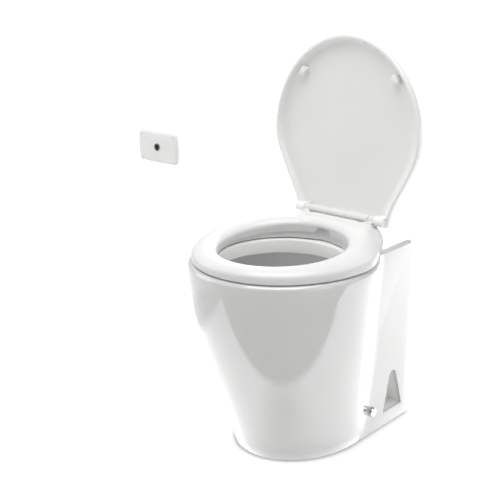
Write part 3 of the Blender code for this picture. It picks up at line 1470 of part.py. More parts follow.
def make_end_cap(bore, look):
    front = MOTOR_REAR - CLEARANCE
    rear = front - END_CAP_LENGTH
    cap = pump_turned(
        "motor_end_cap",
        (
            (0, rear),
            (MOTOR_RADIUS - END_CAP_ROUND, rear),
            (MOTOR_RADIUS, rear + END_CAP_ROUND),
            (MOTOR_RADIUS, front),
            (MOTOR_RADIUS - MOTOR_WALL, front),
            (MOTOR_RADIUS - MOTOR_WALL, rear + END_CAP_ROUND),
            (END_CAP_BOSS_RADIUS, rear + END_CAP_ROUND),
            (END_CAP_BOSS_RADIUS, front),
            (bore, front),
            (bore, SHAFT_REAR - CLEARANCE),
            (0, SHAFT_REAR - CLEARANCE),
        ),
        FINE_SIDES,
        look,
    )
    low = at(0, rear - GLAND_LENGTH, PUMP_HEIGHT + GLAND_OFFSET)
    high = at(0, rear + END_CAP_ROUND / 2, PUMP_HEIGHT + GLAND_OFFSET)
    join(cap, rod("gland", GLAND_RADIUS, low, high, SMALL_SIDES, look))
    start = at(0, rear - GLAND_LENGTH - OVERRUN, PUMP_HEIGHT + GLAND_OFFSET)
    end = at(0, rear + END_CAP_ROUND + OVERRUN, PUMP_HEIGHT + GLAND_OFFSET)
    cut(cap, rod("gland_bore", GLAND_BORE, start, end, SMALL_SIDES, look))


def clamp_ring(name, centre, direction, inner, up, look):
    """A worm-drive hose clamp: a band with its screw housing standing on it."""
    outer = inner + CLAMP_THICKNESS
    half = CLAMP_WIDTH / 2
    band = ((inner, -half), (outer, -half), (outer, half), (inner, half))
    ring = turned(name, band, centre, direction, FINE_SIDES, look)
    axis = Vector(direction)
    across = axis.cross(up)
    middle = centre + up * (outer + CLAMP_SCREW_HEIGHT / 2 - CLAMP_THICKNESS / 2)
    start = middle - across * CLAMP_SCREW_LENGTH / 2
    end = middle + across * CLAMP_SCREW_LENGTH / 2
    join(ring, rod(f"{name}_screw", CLAMP_SCREW_HEIGHT / 2, start, end, SMALL_SIDES, look))


def make_bowl_elbow(rubber, steel):
    """The rubber elbow from the bowl's spigot down to the pump's inlet."""
    corner_z = PUMP_HEIGHT + ELBOW_BEND
    grip_top = SPIGOT_TIP_HEIGHT + ELBOW_GRIP
    path = [at(0, OUTLET_DISTANCE, grip_top)]
    for i in range(ELBOW_STEPS + 1):
        turn = math.pi / 2 * i / ELBOW_STEPS
        distance = OUTLET_DISTANCE - ELBOW_BEND * (1 - math.cos(turn))
        path.append(at(0, distance, corner_z - ELBOW_BEND * math.sin(turn)))
    path.append(at(0, COVER_SPIGOT_TIP - ELBOW_GRIP, PUMP_HEIGHT))
    inner = [SPIGOT_RADIUS + CLEARANCE] * len(path)
    outer = [ELBOW_RADIUS] * len(path)
    pipe("bowl_elbow", path, outer, inner, FINE_SIDES, rubber)
    band = ELBOW_RADIUS + CLEARANCE
    middle = at(0, OUTLET_DISTANCE, grip_top - ELBOW_GRIP / 2)
    clamp_ring("bowl_clamp", middle, (0, 0, 1), band, Vector((1, 0, 0)), steel)
    middle = at(0, COVER_SPIGOT_TIP - ELBOW_GRIP / 2, PUMP_HEIGHT)
    clamp_ring("pump_clamp", middle, (0, -1, 0), band, Vector((1, 0, 0)), steel)


def make_discharge(plastic, rubber):
    """The elbow from the pump's spout to the hose tail in the rear opening, with its one-way valve."""
    inner = DISCHARGE_RADIUS + CLEARANCE
    outer = inner + DISCHARGE_WALL
    bend_start = SPOUT_TOP + CHECK_VALVE_LENGTH + DISCHARGE_RISE
    path = [
        at(DISCHARGE_OFFSET, SPOUT_DISTANCE, SPOUT_TOP - DISCHARGE_GRIP),
        at(DISCHARGE_OFFSET, SPOUT_DISTANCE, SPOUT_TOP),
    ]
    radii = [outer, outer]
    for i in range(6):
        turn = math.pi / 2 * i / 5
        distance = SPOUT_DISTANCE - DISCHARGE_BEND * (1 - math.cos(turn))
        path.append(at(DISCHARGE_OFFSET, distance, bend_start + DISCHARGE_BEND * math.sin(turn)))
        radii.append(outer)
    height = bend_start + DISCHARGE_BEND
    start = DISCHARGE_REAR + DISCHARGE_RIB_PITCH * DISCHARGE_RIB_COUNT
    path.append(at(DISCHARGE_OFFSET, start, height))
    radii.append(outer)
    for i in range(DISCHARGE_RIB_COUNT):
        crest = start - DISCHARGE_RIB_PITCH * i - CLEARANCE
        path.append(at(DISCHARGE_OFFSET, crest, height))
        radii.append(outer + DISCHARGE_RIB)
        path.append(at(DISCHARGE_OFFSET, start - DISCHARGE_RIB_PITCH * (i + 1), height))
        radii.append(outer)
    pipe("discharge_elbow", path, radii, [inner] * len(path), ROUND_SIDES, plastic)

    bottom = SPOUT_TOP + CLEARANCE
    centre = at(DISCHARGE_OFFSET, SPOUT_DISTANCE, 0)
    flange = bottom + CHECK_VALVE_FLANGE
    tip = bottom + CHECK_VALVE_LENGTH
    turned(
        "check_valve",
        (
            (DISCHARGE_BORE, bottom),
            (DISCHARGE_RADIUS, bottom),
            (DISCHARGE_RADIUS, flange),
            (DISCHARGE_BORE, flange),
            (CHECK_VALVE_LIP_OUTER, tip),
            (CHECK_VALVE_LIP_INNER, tip),
            (CHECK_VALVE_THROAT, flange),
        ),
        centre,
        (0, 0, 1),
        ROUND_SIDES,
        rubber,
    )


def make_pump_bracket(steel, rubber):
    """A bent plate on rubber feet, with saddles under the motor and an arm for the rinse valve."""
    base = block(
        "pump_bracket",
        at(-ARM_X - BASE_THICKNESS, BASE_FRONT, BASE_BOTTOM),
        at(BASE_HALF_WIDTH, BASE_REAR, BASE_TOP),
        steel,
    )
    overlap = BASE_THICKNESS / 2
    radius = MOTOR_RADIUS + CLEARANCE
    reach = math.asin(SADDLE_HALF_WIDTH / radius)
    for place in SADDLE_PLACES:
        distance = MOTOR_REAR + place
        points = [
            at(-SADDLE_HALF_WIDTH, distance, BASE_TOP - overlap),
            at(SADDLE_HALF_WIDTH, distance, BASE_TOP - overlap),
        ]
        for i in range(SADDLE_STEPS + 1):
            turn = between(reach, -reach, i / SADDLE_STEPS)
            drop = radius * math.cos(turn) / math.cos(reach / SADDLE_STEPS)
            points.append(at(radius * math.sin(turn), distance, PUMP_HEIGHT - drop))
        depth = Vector((0, -SADDLE_THICKNESS, 0))
        join(base, extruded(f"saddle_{place}", points, depth, steel))
    arm = block(
        "arm",
        at(-ARM_X - BASE_THICKNESS, ARM_FRONT, BASE_TOP - overlap),
        at(-ARM_X, ARM_REAR, ARM_TOP),
        steel,
    )
    join(base, arm)
    number = 0
    for x in (PAD_INSET - BASE_HALF_WIDTH, BASE_HALF_WIDTH - PAD_INSET):
        for distance in (BASE_REAR + PAD_INSET, BASE_FRONT - PAD_INSET):
            number += 1
            top = at(x, distance, FOOT_PAD_HEIGHT)
            rod(f"foot_pad_{number}", FOOT_PAD_RADIUS, at(x, distance, 0), top, SMALL_SIDES, rubber)


def make_motor_strap(steel):
    """The band that holds the motor down in its saddles, with a foot on each side."""
    inner = MOTOR_RADIUS + CLEARANCE
    outer = inner + STRAP_THICKNESS
    foot = outer + STRAP_FOOT
    low = BASE_TOP + CLEARANCE
    high = low + STRAP_THICKNESS
    turns = [math.pi * i / STRAP_STEPS for i in range(STRAP_STEPS + 1)]
    over = [(outer * math.cos(turn), PUMP_HEIGHT + outer * math.sin(turn)) for turn in turns]
    under = [(inner * math.cos(turn), PUMP_HEIGHT + inner * math.sin(turn)) for turn in turns[::-1]]
    outline = [(foot, low), (foot, high), (outer, high), *over]
    outline += [(-outer, high), (-foot, high), (-foot, low), (-inner, low), *under, (inner, low)]
    points = [at(x, STRAP_DISTANCE, z) for x, z in outline]
    extruded("motor_strap", points, Vector((0, -STRAP_WIDTH, 0)), steel)


def make_rinse(plastic, dark, rubber):
    x = -ARM_X - BASE_THICKNESS - CLEARANCE - VALVE_RADIUS
    tail_top = VALVE_TOP + VALVE_TAIL_LENGTH
    middle = (VALVE_BOTTOM + VALVE_TOP) / 2
    core = at(x, VALVE_DISTANCE, middle)
    foot = at(x, VALVE_DISTANCE, VALVE_BOTTOM)
    head = at(x, VALVE_DISTANCE, VALVE_TOP)
    valve = rod("rinse_valve", VALVE_RADIUS, foot, head, ROUND_SIDES, plastic)
    tail_end = at(x, VALVE_DISTANCE, tail_top)
    inlet_end = at(x, VALVE_INLET_REAR, middle)
    join(
        valve,
        rod("valve_tail", VALVE_TAIL_RADIUS, core, tail_end, SMALL_SIDES, plastic),
        rod("valve_inlet", VALVE_INLET_RADIUS, core, inlet_end, SMALL_SIDES, plastic),
    )
    past_tail = at(x, VALVE_DISTANCE, tail_top + OVERRUN)
    past_inlet = at(x, VALVE_INLET_REAR - OVERRUN, middle)
    cut(
        valve,
        rod("tail_bore", VALVE_TAIL_BORE, core, past_tail, SMALL_SIDES, plastic),
        rod("inlet_bore", VALVE_INLET_BORE, core, past_inlet, SMALL_SIDES, plastic),
    )
    coil_rear = VALVE_DISTANCE + VALVE_RADIUS + CLEARANCE
    coil_front = coil_rear + COIL_LENGTH
    turned(
        "valve_coil",
        (
            (0, coil_rear),
            (COIL_RADIUS, coil_rear),
            (COIL_RADIUS, coil_front - COIL_ROUND),
            (COIL_RADIUS - COIL_ROUND, coil_front),
            (0, coil_front),
        ),
        at(x, 0, middle),
        (0, -1, 0),
        ROUND_SIDES,
        dark,
    )
    wall_rear = RIM_HOLE_CENTRE - RIM_MASS_LENGTH
    flange_front = wall_rear - CLEARANCE
    flange_rear = flange_front - SPUD_FLANGE_THICKNESS
    tail = VALVE_TAIL_RADIUS
    turned(
        "rim_spud",
        (
            (SPUD_BORE, flange_rear - SPUD_TAIL_LENGTH),
            (tail, flange_rear - SPUD_TAIL_LENGTH),
            (tail, flange_rear),
            (SPUD_FLANGE_RADIUS, flange_rear),
            (SPUD_FLANGE_RADIUS, flange_front),
            (SPUD_RADIUS, flange_front),
            (SPUD_RADIUS, flange_front + SPUD_REACH),
            (SPUD_BORE, flange_front + SPUD_REACH),
        ),
        at(0, 0, SPUD_HEIGHT),
        (0, -1, 0),
        ROUND_SIDES,
        plastic,
    )
    start = at(0, flange_rear - SPUD_TAIL_LENGTH + HOSE_GRIP, SPUD_HEIGHT)
    leave = at(0, flange_rear - SPUD_TAIL_LENGTH, SPUD_HEIGHT)
    arrive = at(x, VALVE_DISTANCE, tail_top)
    end = at(x, VALVE_DISTANCE, tail_top - HOSE_GRIP)
    reach = (arrive - leave).length
    first = leave + Vector((0, reach * HOSE_SPUD_PULL_SHARE, 0))
    second = arrive + Vector((0, 0, reach * HOSE_VALVE_PULL_SHARE))
    path = [start]
    for i in range(HOSE_STEPS + 1):
        path.append(bezier(leave, first, second, arrive, i / HOSE_STEPS))
    path.append(end)
    inner = tail + CLEARANCE
    pipe("rinse_hose", path, [inner + HOSE_WALL] * len(path), [inner] * len(path), SMALL_SIDES, rubber)


def bezier(start, first, second, end, share):
    left = 1 - share
    return (
        start * left**3
        + first * 3 * left**2 * share
        + second * 3 * left * share**2
        + end * share**3
    )


def panel_ring(inset, distance):
    """The control panel's outline: a rounded oblong with slightly bowed sides."""
    half_width = PANEL_HALF_WIDTH - inset
    half_height = PANEL_HALF_HEIGHT - inset
    corner = max(PANEL_CORNER - inset * PANEL_CORNER_SHARE, PANEL_EDGE / 2)
    points = []
    for cx, cz, start in ((1, 1, 0), (-1, 1, 1), (-1, -1, 2), (1, -1, 3)):
        for i in range(4):
            turn = math.pi / 2 * (start + i / 3)
            x = cx * (half_width - corner) + corner * math.cos(turn)
            z = cz * (half_height - corner) + corner * math.sin(turn)
            points.append((x, z))
        if start % 2 == 0:
            points += [(x * share, z) for share in PANEL_SIDE_SHARES]
        else:
            points += [(x, z * share) for share in PANEL_SIDE_SHARES]
    ring = []
    for x, z in points:
        bowed_x = x + PANEL_SIDE_BOW * x / half_width * (1 - (z / half_height) ** 2)
        bowed_z = z + PANEL_TOP_BOW * z / half_height * (1 - (x / half_width) ** 2)
        ring.append(at(PANEL_X + bowed_x, distance, PANEL_HEIGHT + bowed_z))
    return ring


def panel_turned(name, profile, x, z, sides, look):
    """A piece turned about a line square to the panel, its profile given as (radius, distance)."""
    return turned(name, profile, at(x, 0, z), (0, -1, 0), sides, look)


def make_panel(plastic, cap_look, metal, black, dark):
    face = PANEL_THICKNESS
    rings = [panel_ring(0, 0)]
    for inset_share, height_share in PANEL_STEP_SHARES:
        rings.append(panel_ring(PANEL_EDGE * inset_share, face * height_share))
    rings.append(panel_ring(PANEL_BORDER, face))
    plate = loft("control_panel", rings, plastic)
    sleeve_hole = BEZEL_SLEEVE_RADIUS + CLEARANCE
    start = at(PANEL_X, -OVERRUN, PANEL_HEIGHT)
    end = at(PANEL_X, face + OVERRUN, PANEL_HEIGHT)
    cut(plate, rod("sleeve_hole", sleeve_hole, start, end, ROUND_SIDES, plastic))
    number = 0
    for side_x in (-1, 1):
        for side_z in (-1, 1):
            number += 1
            x = PANEL_X + side_x * PANEL_SCREW_HALF_X
            z = PANEL_HEIGHT + side_z * PANEL_SCREW_HALF_Z
            make_panel_fixing(number, x, z, plate, cap_look)
    rise = face + CLEARANCE
    panel_turned(
        "button_bezel",
        (
            (BEZEL_BORE, -BEZEL_DEPTH),
            (BEZEL_SLEEVE_RADIUS, -BEZEL_DEPTH),
            (BEZEL_SLEEVE_RADIUS, rise),
            (BEZEL_RADIUS, rise),
            (BEZEL_RADIUS, rise + BEZEL_RISE * BEZEL_FLANK_SHARE),
            (BEZEL_RADIUS - BEZEL_RISE * BEZEL_FLANK_SHARE, rise + BEZEL_RISE),
            (BEZEL_BORE, rise + BEZEL_RISE),
        ),
        PANEL_X,
        PANEL_HEIGHT,
        FINE_SIDES,
        metal,
    )
    brow = face + BUTTON_RISE - BUTTON_DOME
    dome = [
        (BUTTON_RADIUS * out_share, brow + BUTTON_DOME * up_share)
        for out_share, up_share in BUTTON_DOME_SHARES
    ]
    button = panel_turned(
        "push_button",
        (
            (0, -BUTTON_DEPTH - BUTTON_STEM_LENGTH),
            (BUTTON_STEM_RADIUS, -BUTTON_DEPTH - BUTTON_STEM_LENGTH),
            (BUTTON_STEM_RADIUS, -BUTTON_DEPTH),
            (BUTTON_RADIUS, -BUTTON_DEPTH),
            (BUTTON_RADIUS, brow),
            *dome,
            (0, brow + BUTTON_DOME),
        ),
        PANEL_X,
        PANEL_HEIGHT,
        FINE_SIDES,
        black,
    )
    move_origin(button, at(PANEL_X, 0, PANEL_HEIGHT))
    sleeve_room = BEZEL_DEPTH + CLEARANCE
    stem_room = BUTTON_DEPTH + BUTTON_STEM_LENGTH + BUTTON_TRAVEL + CLEARANCE
    stem_floor = max(stem_room, sleeve_room) + BUTTON_TRAVEL
    panel_turned(
        "switch_body",
        (
            (0, -SWITCH_DEPTH),
            (SWITCH_RADIUS, -SWITCH_DEPTH),
            (SWITCH_RADIUS, -CLEARANCE),
            (BEZEL_SLEEVE_RADIUS + CLEARANCE, -CLEARANCE),
            (BEZEL_SLEEVE_RADIUS + CLEARANCE, -sleeve_room),
            (BUTTON_STEM_RADIUS + CLEARANCE, -sleeve_room),
            (BUTTON_STEM_RADIUS + CLEARANCE, -stem_floor),
            (0, -stem_floor),
        ),
        PANEL_X,
        PANEL_HEIGHT,
        ROUND_SIDES,
        dark,
    )


def make_panel_fixing(number, x, z, plate, look):
    face = PANEL_THICKNESS
    seat = face - PANEL_CAP_SEAT
    pocket = PANEL_CAP_RADIUS + CLEARANCE
    hole = PANEL_SCREW_HOLE
    ledge = seat - CLEARANCE
    profile = (
        (0, -OVERRUN),
        (hole, -OVERRUN),
        (hole, ledge),
        (pocket, ledge),
        (pocket, face + OVERRUN),
        (0, face + OVERRUN),
    )
    cut(plate, panel_turned(f"cap_pocket_{number}", profile, x, z, SMALL_SIDES, look))
    rise = face + PANEL_CAP_RISE
    panel_turned(
        f"panel_cap_{number}",
        (
            (0, seat),
            (PANEL_CAP_RADIUS, seat),
            (PANEL_CAP_RADIUS, face),
            (PANEL_CAP_RADIUS * PANEL_CAP_FLAT_SHARE, face + PANEL_CAP_RISE * PANEL_CAP_EDGE_SHARE),
            (0, rise),
        ),
        x,
        z,
        SMALL_SIDES,
        look,
    )


def move_origin(piece, point):
    piece.data.transform(Matrix.Translation(-point))
    piece.location = point


def main():
    clear_scene()
    ceramic = material("glazed_ceramic", (0.86, 0.86, 0.85), 0.06, coat=1.0)
    seat_plastic = material("seat_plastic", (0.88, 0.88, 0.87), 0.16)
    lid_plastic = material("lid_plastic", (0.82, 0.82, 0.80), 0.20)
    white_plastic = material("white_plastic", (0.84, 0.84, 0.82), 0.30)
    rubber_white = material("white_rubber", (0.80, 0.80, 0.78), 0.55)
    rubber = material("black_rubber", (0.02, 0.02, 0.02), 0.65)
    steel = material("stainless_steel", (0.62, 0.62, 0.61), 0.30, 1.0)
    chrome = material("chrome", (0.85, 0.85, 0.86), 0.05, 1.0)
    painted = material("painted_steel", (0.10, 0.11, 0.12), 0.40, 0.3)
    dark = material("dark_plastic", (0.03, 0.03, 0.035), 0.40)
    black = material("button_black", (0.005, 0.005, 0.006), 0.05, coat=1.0)

    make_bowl_pedestal(ceramic)
    seat = make_seat(seat_plastic)
    move_origin(seat, Vector((0, HINGE_Y, HINGE_HEIGHT)))
    make_lid(lid_plastic)
    make_pads(rubber_white)
    make_hinge(white_plastic, steel, rubber)
    make_side_fixings(steel, chrome)
    make_pump(dark, steel, rubber, painted)
    make_bowl_elbow(rubber, steel)
    make_discharge(white_plastic, rubber)
    make_pump_bracket(steel, rubber)
    make_motor_strap(steel)
    make_rinse(white_plastic, dark, rubber)
    make_panel(white_plastic, seat_plastic, chrome, black, dark)


main()
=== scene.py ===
"""An electric marine toilet: glazed pedestal, seat and lid, pump inside, and a panel on the bulkhead.

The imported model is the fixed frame. Each operator dresses one piece or one group of like pieces.
"""

import math

import bmesh
import bpy
from mathutils import Matrix, Vector


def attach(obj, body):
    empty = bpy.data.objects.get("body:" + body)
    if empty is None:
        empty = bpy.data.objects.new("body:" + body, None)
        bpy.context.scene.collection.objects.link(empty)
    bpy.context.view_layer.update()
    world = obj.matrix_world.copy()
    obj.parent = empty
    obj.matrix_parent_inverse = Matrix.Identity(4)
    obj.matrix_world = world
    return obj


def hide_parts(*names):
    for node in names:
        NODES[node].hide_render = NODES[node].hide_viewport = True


bl_info = {
    "name": "Marine Toilet",
    "version": (1, 0, 0),
    "blender": (4, 5, 0),
    "location": "View3D > Sidebar > Toilet",
    "description": "Dresses an electric marine toilet around its packed frame",
    "category": "Object",
}

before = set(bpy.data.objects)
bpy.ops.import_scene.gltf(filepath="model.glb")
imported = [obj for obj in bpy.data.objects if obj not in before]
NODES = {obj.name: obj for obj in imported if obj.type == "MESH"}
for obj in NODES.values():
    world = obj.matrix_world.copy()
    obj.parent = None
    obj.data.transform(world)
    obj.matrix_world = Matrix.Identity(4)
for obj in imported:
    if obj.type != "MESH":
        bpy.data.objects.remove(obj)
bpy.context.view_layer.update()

PHOTO_SIDE = 500
SENSOR_WIDTH = 36
WELD_DISTANCE = 1e-5
TINY = 1e-6

# Edges sharper than these angles stay sharp when a piece is shaded smooth.
NODE_CREASE = math.radians(32)
CHINA_CREASE = math.radians(38)
PIECE_CREASE = math.radians(40)

# The floor glows so that a picture shows it white: less near the object, more further off, which is a
# painted soft shade round the object. The glow fades this close to anything that stands on it, which is a
# painted contact shadow.
FLOOR_GLOW = 0.46
FLOOR_GLOW_FAR = 0.76
FLOOR_FAR_FROM = 0.2
FLOOR_FAR_RUN = 0.8
FLOOR_CONTACT_SHADOW_REACH = 0.011

# A bright board lies on the floor, and only the gloss picks it up. A line across the floor is a point
# and the way that it faces, in degrees from the front round to the right. The board ends past both
# front lines, which meet at its tip, and starts past its left line. On the far side of the outer line
# it goes on at a share of its glow.
BOARD_GLOW = 1.65
BOARD_TIP = (0.15, -0.48)
BOARD_FRONT_LINES = ((BOARD_TIP, 38), (BOARD_TIP, 30))
BOARD_FRONT_BLUR = 0.035
BOARD_LEFT_LINE = ((-0.60, -0.5), 97)
BOARD_OUTER_LINE = ((-0.92, -0.4), 80)
BOARD_OUTER_SHARE = 0.6
BOARD_LEFT_BLUR = 0.09

# Its glow falls to a share over a run to the left, and dips to another share round one spot.
BOARD_FADE_RUN = (-0.75, 0.0)
BOARD_FADE_SHARE = 0.22
BOARD_DIP_AT = (0.13, -0.43, 0)
BOARD_DIP_REACH = 0.14
BOARD_DIP_SHARE = 0.35

# The room is bright behind the object and darker on the camera's side.
ROOM_BRIGHT = 0.62
ROOM_DARK = 0.24
ROOM_TURNS = (0.1, 0.75)

# Name, place, aim, width, height and watts of each soft panel.
LAMPS = (
    ("panel_right", (2.8, -0.7, 0.9), (0.15, -0.1, 0.15), 1.6, 1.6, 8),
    ("panel_left", (-2.6, -1.4, 1.2), (0, -0.25, 0.3), 1.6, 2.2, 14),
    ("panel_back", (-1.4, 1.9, 1.3), (0.1, -0.05, 0.38), 1.6, 1.6, 17),
    ("panel_top", (0.2, -0.7, 2.9), (0, -0.2, 0.4), 2.2, 2.2, 50),
)

# Where the glaze is painted whiter, as painted light against the shade there: inside the bowl, by its
# distance from the bowl's axis and its height, and in the side recesses, by how far in, how far ahead of
# the bulkhead and how high a point lies.
BOWL_PAINTED_LIGHT_TONE = (0.97, 0.97, 0.962)
BOWL_PAINTED_LIGHT_RADIUS = (0.150, 0.156)
BOWL_PAINTED_LIGHT_HEIGHT = (0.29, 0.31)
RECESS_PAINTED_LIGHT_DEEP = (0.119, 0.1235)
RECESS_PAINTED_LIGHT_AHEAD = (0.085, 0.095)
RECESS_PAINTED_LIGHT_HEIGHT = (0.13, 0.14)

# Plan of the seat: distances are ahead of the bulkhead, heights are over the floor.
BULKHEAD = 0.006
HINGE_DISTANCE = 0.082
HINGE_HEIGHT = 0.437
WIDEST = 0.161
NOSE = 0.1975
NECK = 0.1135
NECK_BLEND = 0.35
SEAT_TAIL = 0.007
SEAT_CORNER = 0.020
HOLE_HALF_WIDTH = 0.125
HOLE_HALF_LENGTH = 0.126
HOLE_CENTRE = 0.264
HOLE_TURN_STEP = math.radians(0.3)
FLANK_STEPS = 5
TAIL_STEPS = 3
CORNER_STEPS = 6
NECK_STEPS = 18
NOSE_STEPS = 30

# Slice of the seat: its underside, where its side turns over, and the rounds to both sides of its flat.
SEAT_LOW = 0.3905
SEAT_SIDE = 0.399
SEAT_EDGE = 0.0025
CROWN_FROM = 0.015
CROWN_RUN = 0.050
OUTER_ROUND = 0.0265
INNER_ROUND = 0.0240
TIGHT_ROUND = 0.003
ROUND_WIDENING = 1.1
OUTER_FULLNESS = 2.9
INNER_FULLNESS = 2.5
ROUND_STEPS = 14
FLAT_STEPS = 6
TOP_STEPS = 2 * ROUND_STEPS + FLAT_STEPS
RIB = 0.012
INNER_RIB = 0.006
CHANNEL_TOP = 0.402
CHANNEL_SLOPE = 0.003

# The seat's climb to the hinge: how far ahead it starts, and the share that its side and lip take.
RISE_RUN = 0.330
RISE_POWER = 1.4
RISE_EDGE_SHARE = 0.15
RISE_EDGE_RUN = 0.040
LIP_RISE_SHARE = 0.70
NOTCH_RISE_SHARE = 0.4
LIP_STEP = 0.003

# Room at the seat's rear for the hinge posts and the lid's ears, and the notch in its inner lip.
POST_ROOM = 0.0957
POST_ROOM_HALF_WIDTH = 0.0745
BAR_ROOM = 0.0928
BAR_ROOM_HALF_WIDTH = 0.053
EAR_ROOM_HEIGHT = 0.4240
EAR_ROOM_FRONT = 0.0935
EAR_ROOM_RUN = 0.007
NOTCH_HALF_WIDTH = 0.0145
NOTCH_DEPTH = 0.0080
NOTCH_ROUND = 0.0005
REAR_STATIONS = (0, 0.0065, 0.0130, 0.0186, 0.0193, 0.029, 0.039, 0.046, 0.0525, 0.056, 0.064, 0.0735)

# The seat's two lugs stand a little proud of the post room's walls.
LUG_INNER = 0.0741
LUG_OUTER = 0.0879
LUG_RADIUS = 0.009
LUG_BORE = 0.0033
LUG_ROUND = 0.0009
LUG_FRONT = 0.016
LUG_FOOT = 0.031
LUG_SIDES = 48

# The lid's pads are shortened to meet the fuller seat.
LID_OPEN = math.radians(97)
PAD_FLOOR = 0.4345
PAD_SHARE = 0.68


# Shader maths


class Wire:
    """A socket in a node tree. A sum with it adds the Math node that works the sum out."""

    def __init__(self, nodes, socket):
        self.nodes = nodes
        self.socket = socket

    def _sum(self, operation, first, second):
        return self.nodes.node("ShaderNodeMath", {"operation": operation}, {0: first, 1: second})

    def __add__(self, other):
        return self._sum("ADD", self, other)

    __radd__ = __add__

    def __mul__(self, other):
        return self._sum("MULTIPLY", self, other)

    __rmul__ = __mul__

    def __sub__(self, other):
        return self._sum("SUBTRACT", self, other)

    def __rsub__(self, other):
        return self._sum("SUBTRACT", other, self)

    def __pow__(self, other):
        return self._sum("POWER", self, other)


class Nodes:
    """A node tree, and the one way in which nodes are added to it."""

    def __init__(self, tree):
        self.tree = tree

    def feed(self, socket, value):
        """Links a wire to a socket, or sets a value on it."""
        if isinstance(value, Wire):
            self.tree.links.new(value.socket, socket)
        elif socket.type == "RGBA" and len(value) == 3:
            socket.default_value = (*value, 1)
        else:
            socket.default_value = value

    def node(self, kind, settings, sockets, output=0):
        """One node: its settings first, then the values or links of its sockets."""
        made = self.tree.nodes.new(kind)
        for name, value in settings.items():
            if name == "stops":
                for stop, (position, shade) in zip(made.color_ramp.elements, value):
                    stop.position = position
                    stop.color = (shade, shade, shade, 1)
            else:
                setattr(made, name, value)
        for name, value in sockets.items():
            self.feed(made.inputs[name], value)
        return Wire(self, made.outputs[output])

    def ramp(self, value, low, high, shades=(0, 1)):
        """The first shade below low, the second above high, and a straight climb between."""
        stops = ((low, shades[0]), (high, shades[1]))
        return self.node("ShaderNodeValToRGB", {"stops": stops}, {"Fac": value})

    def vector(self, operation, *values, output="Vector"):
        """Vector maths. Its output is Value where the answer is one number."""
        return self.node("ShaderNodeVectorMath", {"operation": operation}, dict(enumerate(values)), output)

    def part(self, vector, axis):
        """One of a vector's three numbers."""
        return self.node("ShaderNodeSeparateXYZ", {}, {"Vector": vector}, axis)


class Finish(Nodes):
    """A material with its Principled shader and the nodes that feed it."""

    def __init__(self, name, **constant):
        self.material = bpy.data.materials.new(name)
        self.material.use_nodes = True
        super().__init__(self.material.node_tree)
        self.shader = self.tree.nodes["Principled BSDF"]
        for socket, value in constant.items():
            self.shader.inputs[socket.replace("_", " ")].default_value = value

    def place(self):
        """Where a point lies on the piece, in metres, which moves with the piece."""
        return self.node("ShaderNodeTexCoord", {}, {}, "Object")

    def stretched(self, scale):
        """The same, stretched for brushed or ribbed surfaces."""
        return self.node("ShaderNodeMapping", {}, {"Vector": self.place(), "Scale": scale})

    def noise(self, scale, detail=2, vector=None):
        sockets = {"Vector": vector or self.place(), "Scale": scale, "Detail": detail}
        return self.node("ShaderNodeTexNoise", {}, sockets, "Fac")

    def mix(self, mask, first, second):
        """Two colours mixed by a mask."""
        return self.node("ShaderNodeMix", {"data_type": "RGBA"}, {0: mask, 6: first, 7: second}, 2)

    def colour(self, value):
        self.feed(self.shader.inputs["Base Color"], value)

    def roughness(self, value):
        self.feed(self.shader.inputs["Roughness"], value)

    def bump(self, height, distance, strength):
        sockets = {"Height": height, "Distance": distance, "Strength": strength}
        self.feed(self.shader.inputs["Normal"], self.node("ShaderNodeBump", {}, sockets, "Normal"))


# Finishes


def shade_of(colour, factor):
    """The colour made lighter or darker, and no lighter than white."""
    return tuple(min(channel * factor, 1) for channel in colour)


def glazed_china(name, colour):
    """White glaze over china: pools a little warmer and cooler, with the faint ripple of a fired coat."""
    finish = Finish(name, IOR=1.54, Coat_Weight=1.0, Coat_Roughness=0.02)
    cloud = finish.ramp(finish.noise(scale=7, detail=3), 0.35, 0.65)
    speck = finish.ramp(finish.noise(scale=900), 0.69, 0.75)
    body = finish.mix(cloud, shade_of(colour, 0.985), colour)
    # The bowl and the recesses are painted whiter here: painted light that makes up for their shade.
    body = finish.mix(bowl_painted_light(finish) + recess_painted_light(finish), body, BOWL_PAINTED_LIGHT_TONE)
    finish.colour(finish.mix(speck * 0.25, body, shade_of(colour, 0.72)))
    finish.roughness(0.05 + finish.noise(scale=22) * 0.06)
    ripple = finish.noise(scale=16) + finish.noise(scale=140, detail=1) * 0.06
    finish.bump(ripple, distance=0.0011, strength=0.35)
    return finish.material


def bowl_painted_light(finish):
    """Inside the bowl, where the glaze is painted whiter as painted light against the bowl's shade."""
    middle = (0, BULKHEAD - HOLE_CENTRE, 0)
    from_axis = finish.vector("MULTIPLY", finish.vector("SUBTRACT", finish.place(), middle), (1, 1, 0))
    radius = finish.vector("LENGTH", from_axis, output="Value")
    height = finish.part(finish.place(), "Z")
    return (1 - finish.ramp(radius, *BOWL_PAINTED_LIGHT_RADIUS)) * finish.ramp(height, *BOWL_PAINTED_LIGHT_HEIGHT)


def recess_painted_light(finish):
    """Inside the two arched recesses at the foot, where the glaze is painted whiter as painted light
    against their shade.
    """
    place = finish.vector("ABSOLUTE", finish.place())
    deep, ahead, height = [finish.part(place, axis) for axis in "XYZ"]
    low = (1 - finish.ramp(ahead, *RECESS_PAINTED_LIGHT_AHEAD)) * (1 - finish.ramp(height, *RECESS_PAINTED_LIGHT_HEIGHT))
    return (1 - finish.ramp(deep, *RECESS_PAINTED_LIGHT_DEEP)) * low


